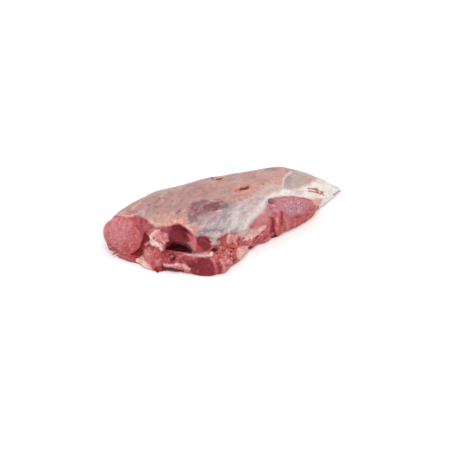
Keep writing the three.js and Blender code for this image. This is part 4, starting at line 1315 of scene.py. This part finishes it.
@dataclass
class Trimmings:
    """The shreds of meat, lumps of fat and ends of sinew that the knife left on the surface."""

    fineness: int = 3               # subdivisions of the ball that each scrap is made from
    steps: int = 15                 # places along a scrap
    uneven: float = 0.6             # unevenness against width
    even_rounds: int = 4            # rounds of evening along a scrap's middle
    camera: PhotoCamera = field(default_factory=PhotoCamera)

    def scraps(self) -> list[Scrap]:
        """Returns the scraps that the photograph shows, and small ones strewn over the torn end."""
        return [*self.contour(), *self.under_round(), *self.white_ones(), *self.tufts(), *Strewing().scraps()]

    def contour(self) -> list[Scrap]:
        """Returns the shred with a hook on the top contour, and the knob of the long muscle."""
        return [
            Scrap(SHOWING, ((214.6, 180), (212.6, 179), (211.4, 177.8), (210.8, 176.6)), 2.4, end=DEEP_AND_SHADE,
                  tip=0.4, lift=0.8),
            Scrap(RED, ((215.4, 180.2), (218.6, 179.6), (223, 179)), 3.4, end=DEEP_AND_SHADE, tip=0.5, lift=1.2),
            Scrap(STAINED, ((213.6, 179.8), (216.6, 181.2), (220.6, 181.2)), 2.4, lift=0.6),
            Scrap(SHOWING, ((267.8, 201), (270.4, 200.8), (273.4, 202.6)), 9, end=CUT, tip=0.8, lift=0.2),
        ]

    def under_round(self) -> list[Scrap]:
        """Returns the torn bits round the lower edge of the round muscle."""
        return [
            Scrap(RED, ((116, 249.6), (110.6, 248.8), (106.8, 246.4), (105, 242.8)), 6, end=CUT, tip=0.5,
                  lift=1.0),
            Scrap(RED, ((118.6, 250.8), (115.4, 252.4), (112.2, 255)), 4, tip=0.25, lift=1.0),
            Scrap(STAINED, ((114.6, 252.8), (117.6, 253.8), (120, 254.4)), 2.6, end=FAT, lift=0.8),
            Scrap(CUT, ((132, 260), (126, 257.6), (121, 256), (117.6, 255.4)), 5, end=BLUE, tip=0.6,
                  lift=0.6),
            Scrap(BLOOD, ((130, 254), (134.6, 253.6), (138.6, 255.6)), 4.4, tip=0.9, lift=0.3),
            Scrap(FAT, ((139, 258.6), (140.6, 262.4), (144.6, 265.4)), 5, tip=0.8, lift=0.3),
            Scrap(BLOOD, ((155, 268.6), (157.4, 271), (158, 273)), 5, tip=0.8, lift=0.3),
        ]

    def white_ones(self) -> list[Scrap]:
        """Returns the strand's white scrap, the curls of fat, the wedge's rim and the sinew's end."""
        return [
            Scrap(FAT, ((217.8, 210.8), (219.6, 210.8), (221.4, 211)), 1.7, end=WAX, tip=0.7, lift=0.3),
            Scrap(FAT, ((158, 230.2), (153.6, 232.8), (149.8, 237)), 4.4, end=WAX, tip=0.8, lift=0.0),
            Scrap(WAX, ((151.4, 239.6), (155.6, 242.6), (160.4, 246.4)), 4, end=FAT, tip=0.7, lift=-0.4),
            Scrap(STAINED, ((151, 242.8), (148.4, 243.6), (145.6, 245.4)), 2.4, end=PALE, tip=0.6,
                  lift=0.4),
            Scrap(FAT, ((206, 255.6), (209, 256), (211, 254.4), (211.4, 251.8)), 3.6, end=WAX, tip=0.8,
                  lift=0.4),
        ]

    def tufts(self) -> list[Scrap]:
        """Returns the larger tufts of the torn end."""
        return [
            Scrap(RED, ((221, 244.4), (222.6, 239.6), (225.8, 234.4)), 5, end=DEEP_AND_SHADE, tip=0.4, lift=0.2),
            Scrap(FAT, ((227, 242), (228.4, 239), (229.4, 234)), 2.4, end=PALE, lift=-0.4),
            Scrap(STAINED, ((233.6, 243), (235, 240.4), (234.4, 237.6)), 2.6, end=FAT, lift=-0.4),
            Scrap(RED, ((236.4, 242.6), (239, 239.4), (240.6, 236.6)), 4, end=DEEP_AND_SHADE, lift=0.2),
            Scrap(RED, ((241, 246), (246.6, 242.6), (252, 239.4)), 4, end=STAINED, tip=0.6, lift=0.3),
            Scrap(FAT, ((238.4, 249.6), (242.4, 250.6), (246.4, 249.4)), 5, end=STAINED, lift=0.2),
            Scrap(FAT, ((238.6, 257), (241.4, 255.4), (243, 252.6)), 4, tip=0.7, lift=0.2),
            Scrap(RED, ((216.4, 247.4), (219, 247), (221.6, 248.4)), 3.4, end=STAINED, lift=0.2),
            Scrap(RED, ((231.4, 256), (234, 258.6), (233, 263.4)), 5, end=BLOOD, tip=0.7, lift=0.2),
            Scrap(STAINED, ((218.6, 253), (223.6, 255.6), (228, 259.4)), 2.8, end=PALE, lift=0.0),
            Scrap(BLOOD, ((229.6, 247.6), (232.6, 249), (235.4, 248)), 3.8, end=RED, lift=0.2),
        ]

    def lay(self, tree: BVHTree, scrap: Scrap) -> tuple[np.ndarray, Vector]:
        """Lays the scrap's pixels on the meat.

        Args:
            tree: the meat's faces.
            scrap: the scrap to lay.

        Returns:
            Places along the scrap's middle, one a row, and the mean direction out of the meat. Past the
            meat's outline, the scrap goes on as far from the camera as where it left the meat. One pixel
            must see the meat.
        """
        eye = self.camera.eye()
        ways = [self.camera.ray(pixel) for pixel in scrap.pixels]
        casts = [tree.ray_cast(eye, way) for way in ways]
        out = sum((cast[1] for cast in casts if cast[0]), Vector()).normalized()
        distance = next(cast[3] for cast in casts if cast[0])
        middle = []
        for way, (hit, normal, _, reach) in zip(ways, casts):
            distance = reach if hit else distance
            middle.append(np.array(eye + way * distance + (normal or out) * scrap.lift * MM))
        along = np.linspace(0.0, len(middle) - 1.0, self.steps)
        columns = [np.interp(along, range(len(middle)), column) for column in np.array(middle).T]
        line = np.stack(columns, axis=1)
        for _ in range(self.even_rounds):
            line[1:-1] = (line[:-2] + 2 * line[1:-1] + line[2:]) / 4
        return line, out

    def sweep(self, form: bmesh.types.BMesh, scrap: Scrap, line: np.ndarray, out: Vector) -> None:
        """Draws a ball out along a line into a tapered scrap.

        Args:
            form: the form that the scrap is added to, with a layer for each tissue.
            scrap: what the scrap measures and is made of.
            line: places along its middle, one a row.
            out: the direction out of the meat.
        """
        layers = {tissue: form.verts.layers.float[tissue.value] for tissue in Tissue}
        under_cut = LAYERS.index(scrap.tissue) < LAYERS.index(CUT)
        for vert in bmesh.ops.create_icosphere(form, subdivisions=self.fineness, radius=1.0)["verts"]:
            across, up, share = vert.co.x, vert.co.y, (vert.co.z + 1) / 2
            step = min(int(share * (len(line) - 1)), len(line) - 2)
            part = share * (len(line) - 1) - step
            place = Vector(line[step] * (1 - part) + line[step + 1] * part)
            along = Vector(line[step + 1] - line[step]).normalized()
            side = along.cross(out).normalized()
            half = scrap.width / 2 * MM * (1 + (scrap.tip - 1) * share)
            bump = 1 + self.uneven * noise.noise(place / (scrap.width * MM) + vert.co)
            vert.co = place + (side * across + side.cross(along) * up * scrap.flat) * half * bump
            vert[layers[CUT]] = 0.0 if under_cut else 1.0
            vert[layers[scrap.tissue]] = 1.0
            if scrap.end:
                vert[layers[scrap.end]] = max(vert[layers[scrap.end]], share * share)

    def build(self, meat: bpy.types.Object) -> bpy.types.Object:
        """Builds all scraps.

        Args:
            meat: the meat that they lie on.

        Returns:
            One object with each scrap laid on the meat.
        """
        form = bmesh.new()
        form.from_mesh(meat.data)
        tree = BVHTree.FromBMesh(form)
        form.free()
        form = bmesh.new()
        for tissue in Tissue:
            form.verts.layers.float.new(tissue.value)
        for scrap in self.scraps():
            self.sweep(form, scrap, *self.lay(tree, scrap))
        low, high = CAD_BOX
        for vert in form.verts:
            vert.co = [min(max(c, a), b) for c, a, b in zip(vert.co, low, high)]
        bmesh.ops.recalc_face_normals(form, faces=form.faces)
        mesh = bpy.data.meshes.new("trimmings")
        form.to_mesh(mesh)
        form.free()
        mesh.shade_smooth()
        trimmings = bpy.data.objects.new("trimmings", mesh)
        bpy.context.scene.collection.objects.link(trimmings)
        return trimmings


def add(tree: bpy.types.NodeTree, kind: str, settings: dict, links: dict | None = None) -> bpy.types.Node:
    """Adds a node with its settings and its links.

    Args:
        tree: the material's or the world's node tree.
        kind: the node's type.
        settings: properties by name, then input sockets by name or number.
        links: for an input socket's name or number, the output socket that feeds it.

    Returns:
        The new node.
    """
    node = tree.nodes.new(kind)
    for name, value in settings.items():
        if isinstance(name, str) and hasattr(node, name):
            setattr(node, name, value)
        else:
            node.inputs[name].default_value = value
    for name, source in (links or {}).items():
        tree.links.new(source, node.inputs[name])
    return node


@dataclass(frozen=True)
class Tone:
    """One tissue's two colours and the grain that runs between them."""

    tissue: Tissue | None                  # None is the plain skin under all others
    light: str
    dark: str
    grain: Place                           # size of the grain along its own axes, in millimetres
    turn: float = 0.0                      # degrees that the grain is turned about Z
    span: tuple[float, float] = (0.34, 0.66)   # noise values of the dark and of the light colour
    edge: float = 0.5                      # half the span of the attribute over which it takes over
    fray: float = 0.35                     # how far its edge follows the grain
    roughness: float = 0.4
    relief: float = 0.2                    # millimetres of grain in the bump


@dataclass(frozen=True)
class RawBeef:
    """Raw beef, moist from the cold room: muscle with a wet gloss, under waxy fat and silverskin."""

    name: str = "raw_beef_and_silverskin"
    tones: tuple[Tone, ...] = (
        Tone(None, "cfaaa3", "b08b89", (24, 8, 8), turn=8, roughness=0.42, relief=0.3),
        Tone(THIN, "ccb9b1", "b6a49e", (14, 6, 6), turn=-20, roughness=0.35, relief=0.15),
        Tone(SHOWING, "98646e", "6c454e", (10, 4, 5), turn=12, roughness=0.35, relief=0.15),
        Tone(WARM, "d8ae9f", "bf9083", (10, 5, 5), turn=8, roughness=0.42, relief=0.3),
        Tone(SILVER, "d0c7c6", "b3a7aa", (14, 4, 5), turn=20, roughness=0.3, relief=0.2),
        Tone(BLUE, "91878f", "6b6671", (9, 3.5, 4), turn=16, roughness=0.3, relief=0.15),
        Tone(CUT, "cf6d74", "b14c53", (3.5, 3, 3), edge=0.2, roughness=0.36, relief=0.25),
        Tone(RED, "c84f4a", "a03532", (4.5, 4, 4), roughness=0.34, relief=0.2),
        Tone(PALE, "e2a3a4", "c97f86", (3, 2.5, 2.5), roughness=0.35, relief=0.25),
        # darker muscle, also the colour of the painted shade in gaps, pits and creases
        Tone(DEEP_AND_SHADE, "7c2630", "5a151e", (9, 7, 7), fray=0.15, roughness=0.5, relief=0.05),
        Tone(RAGGED, "d27a74", "a33a3b", (6, 5, 5), span=(0.3, 0.7), fray=0.6, roughness=0.28,
             relief=0.6),
        # fine white specks, partly painted glints of wet light
        Tone(FROST_AND_GLINTS, "f2dde1", "ab6877", (1.3, 1.3, 1.3), span=(0.5, 0.7), roughness=0.3, relief=0.25),
        Tone(FAT, "f3cec5", "dfaaa1", (5, 4, 4), roughness=0.4, relief=0.25),
        Tone(STAINED, "f8b8b0", "da8a84", (4, 3, 3), roughness=0.36, relief=0.25),
        Tone(WAX, "fbf3ef", "ecdfda", (8, 5, 5), turn=10, roughness=0.38, relief=0.25),
        Tone(BLOOD, "a42a26", "761614", (3, 3, 3), roughness=0.3, relief=0.1),
    )
    octaves: float = 4.0                   # finer and finer noises in a grain
    octave_share: float = 0.62             # strength of each against the one before
    speck: float = 1.1                     # millimetres between the finest specks
    speck_span: tuple[float, float] = (0.35, 0.65)     # noise values of the darkest and the lightest
    speck_depth: tuple[float, float] = (0.9, 1.08)
    hollow_depth: tuple[float, float] = (1.14, 0.52)   # brightness of a ridge and of a hollow: painted light and painted shade
    ior: float = 1.4
    gloss: float = 0.10                    # share of the specular light, half of it being the full share
    subsurface: float = 0.12
    subsurface_radius: tuple[float, float, float] = (1.0, 0.35, 0.25)
    subsurface_scale: float = 3 * MM
    coat: float = 0.02
    coat_roughness: float = 0.2

    def material(self) -> bpy.types.Material:
        """Returns the material: each tissue's grain laid over the last by its vertex attribute."""
        material = bpy.data.materials.new(self.name)
        material.use_nodes = True
        tree = material.node_tree
        tree.nodes.clear()
        place = add(tree, "ShaderNodeTexCoord", {}).outputs["Object"]
        colour = rough = height = None
        for tone in self.tones:
            grain = self.grain(tree, place, tone.grain, tone.turn)
            share = add(tree, "ShaderNodeMapRange", {"From Min": tone.span[0], "From Max": tone.span[1]},
                        {"Value": grain})
            dark, light = linear(tone.dark), linear(tone.light)
            own = add(tree, "ShaderNodeMix", {"data_type": "RGBA", 6: dark, 7: light},
                      {0: share.outputs[0]}).outputs[2]
            own_height = add(tree, "ShaderNodeMath", {"operation": "MULTIPLY", 1: tone.relief * MM},
                             {0: grain}).outputs[0]
            if tone.tissue is None:
                colour, height = own, own_height
                rough = add(tree, "ShaderNodeValue", {}).outputs[0]
                rough.default_value = tone.roughness
                continue
            there = add(tree, "ShaderNodeAttribute", {"attribute_name": tone.tissue.value}).outputs["Fac"]
            frayed = add(tree, "ShaderNodeMath", {"operation": "MULTIPLY_ADD", 1: tone.fray},
                         {0: grain, 2: there})
            middle = 0.5 + tone.fray / 2
            cover = add(tree, "ShaderNodeMapRange", {
                "From Min": middle - tone.edge,
                "From Max": middle + tone.edge,
            }, {"Value": frayed.outputs[0]}).outputs[0]
            colour = add(tree, "ShaderNodeMix", {"data_type": "RGBA"},
                         {0: cover, 6: colour, 7: own}).outputs[2]
            rough = add(tree, "ShaderNodeMix", {"data_type": "FLOAT", 3: tone.roughness},
                        {0: cover, 2: rough}).outputs[0]
            height = add(tree, "ShaderNodeMix", {"data_type": "FLOAT"},
                         {0: cover, 2: height, 3: own_height}).outputs[0]
        bump = add(tree, "ShaderNodeBump", {"Strength": 1.0, "Distance": 1.0}, {"Height": height})
        shader = add(tree, "ShaderNodeBsdfPrincipled", {
            "IOR": self.ior,
            "Specular IOR Level": self.gloss,
            "Subsurface Weight": self.subsurface,
            "Subsurface Radius": self.subsurface_radius,
            "Subsurface Scale": self.subsurface_scale,
            "Coat Weight": self.coat,
            "Coat Roughness": self.coat_roughness,
        }, {
            "Base Color": self.shaded(tree, place, colour),
            "Roughness": rough,
            "Normal": bump.outputs[0],
        })
        add(tree, "ShaderNodeOutputMaterial", {}, {"Surface": shader.outputs[0]})
        return material

    def grain(self, tree: bpy.types.NodeTree, place: bpy.types.NodeSocket, size: Place,
              turn: float = 0.0) -> bpy.types.NodeSocket:
        """Adds a noise that is as fine as a tissue's grain.

        Args:
            tree: the material's node tree.
            place: the output socket with the object's own coordinates.
            size: millimetres from one crest to the next along each of its axes.
            turn: degrees that it is turned about Z.

        Returns:
            The output socket with the noise, between 0 and 1.
        """
        mapped = add(tree, "ShaderNodeMapping", {
            "vector_type": "TEXTURE",
            "Rotation": (0.0, 0.0, math.radians(turn)),
            "Scale": tuple(length * MM for length in size),
        }, {"Vector": place})
        settings = {"Scale": 1.0, "Detail": self.octaves, "Roughness": self.octave_share}
        return add(tree, "ShaderNodeTexNoise", settings, {"Vector": mapped.outputs[0]}).outputs[0]

    def shaded(self, tree: bpy.types.NodeTree, place: bpy.types.NodeSocket,
               colour: bpy.types.NodeSocket) -> bpy.types.NodeSocket:
        """Adds fine specks to a colour, with painted shade in hollows and painted light on ridges.

        Args:
            tree: the material's node tree.
            place: the output socket with the object's own coordinates.
            colour: the output socket with the colour.

        Returns:
            The output socket with the new colour.
        """
        specks = self.grain(tree, place, (self.speck,) * 3)
        hollow = add(tree, "ShaderNodeAttribute", {"attribute_name": "hollow"}).outputs["Fac"]
        # the specks' brightness, then painted shade in hollows and painted light on ridges
        lights = [
            add(tree, "ShaderNodeMapRange",
                {"From Min": span[0], "From Max": span[1], "To Min": depth[0], "To Max": depth[1]},
                {"Value": value}).outputs[0]
            for value, span, depth in ((specks, self.speck_span, self.speck_depth),
                                       (hollow, (-1.0, 1.0), self.hollow_depth))
        ]
        light = add(tree, "ShaderNodeMath", {"operation": "MULTIPLY"},
                    {0: lights[0], 1: lights[1]}).outputs[0]
        return add(tree, "ShaderNodeMix", {"data_type": "RGBA", "blend_type": "MULTIPLY", 0: 1.0},
                   {6: colour, 7: light}).outputs[2]


@dataclass
class Studio:
    """A plain pale floor under soft light."""

    half_floor: float = 6.0     # metres
    floor_colour: str = "fbfbfa"
    floor_roughness: float = 0.9
    sky: float = 0.78           # strength of the room's white light
    key_power: float = 150.0    # watts
    key_size: float = 3.4       # metres across
    key_from: Place = (-1.6, -2.2, 4.4)

    def make(self) -> None:
        """Adds the floor, the light of the room and the lamp."""
        form = bmesh.new()
        bmesh.ops.create_grid(form, x_segments=1, y_segments=1, size=self.half_floor)
        mesh = bpy.data.meshes.new("floor")
        form.to_mesh(mesh)
        form.free()
        floor = bpy.data.objects.new("floor", mesh)
        bpy.context.scene.collection.objects.link(floor)
        paper = bpy.data.materials.new("matt_paper")
        paper.use_nodes = True
        sheet = paper.node_tree.nodes["Principled BSDF"]
        sheet.inputs["Base Color"].default_value = linear(self.floor_colour)
        sheet.inputs["Roughness"].default_value = self.floor_roughness
        mesh.materials.append(paper)

        world = bpy.data.worlds.new("room")
        world.use_nodes = True
        world.node_tree.nodes["Background"].inputs["Color"].default_value = (1.0, 1.0, 1.0, 1.0)
        world.node_tree.nodes["Background"].inputs["Strength"].default_value = self.sky
        bpy.context.scene.world = world

        lamp = bpy.data.lights.new("soft_box", "AREA")
        lamp.energy = self.key_power
        lamp.size = self.key_size
        box = bpy.data.objects.new("soft_box", lamp)
        box.location = self.key_from
        box.visible_glossy = False      # a polarising sheet keeps its glare off the wet meat
        box.rotation_euler = (-Vector(self.key_from)).to_track_quat("-Z", "Y").to_euler()
        bpy.context.scene.collection.objects.link(box)
        bpy.context.scene.view_settings.view_transform = "Standard"


def main() -> None:
    """Builds the meat, the camera and the studio."""
    logging.basicConfig(level=logging.INFO, format="%(name)s: %(message)s")
    PhotoCamera().make()
    Studio().make()
    meat = Meat().build()
    beef = RawBeef().material()
    for piece in (meat, Trimmings().build(meat)):
        piece.data.materials.clear()
        piece.data.materials.append(beef)
        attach(piece, BODY)
        LOG.info("%s has %d faces", piece.name, len(piece.data.polygons))
    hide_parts(NODE)


if __name__ == "__main__":
    main()
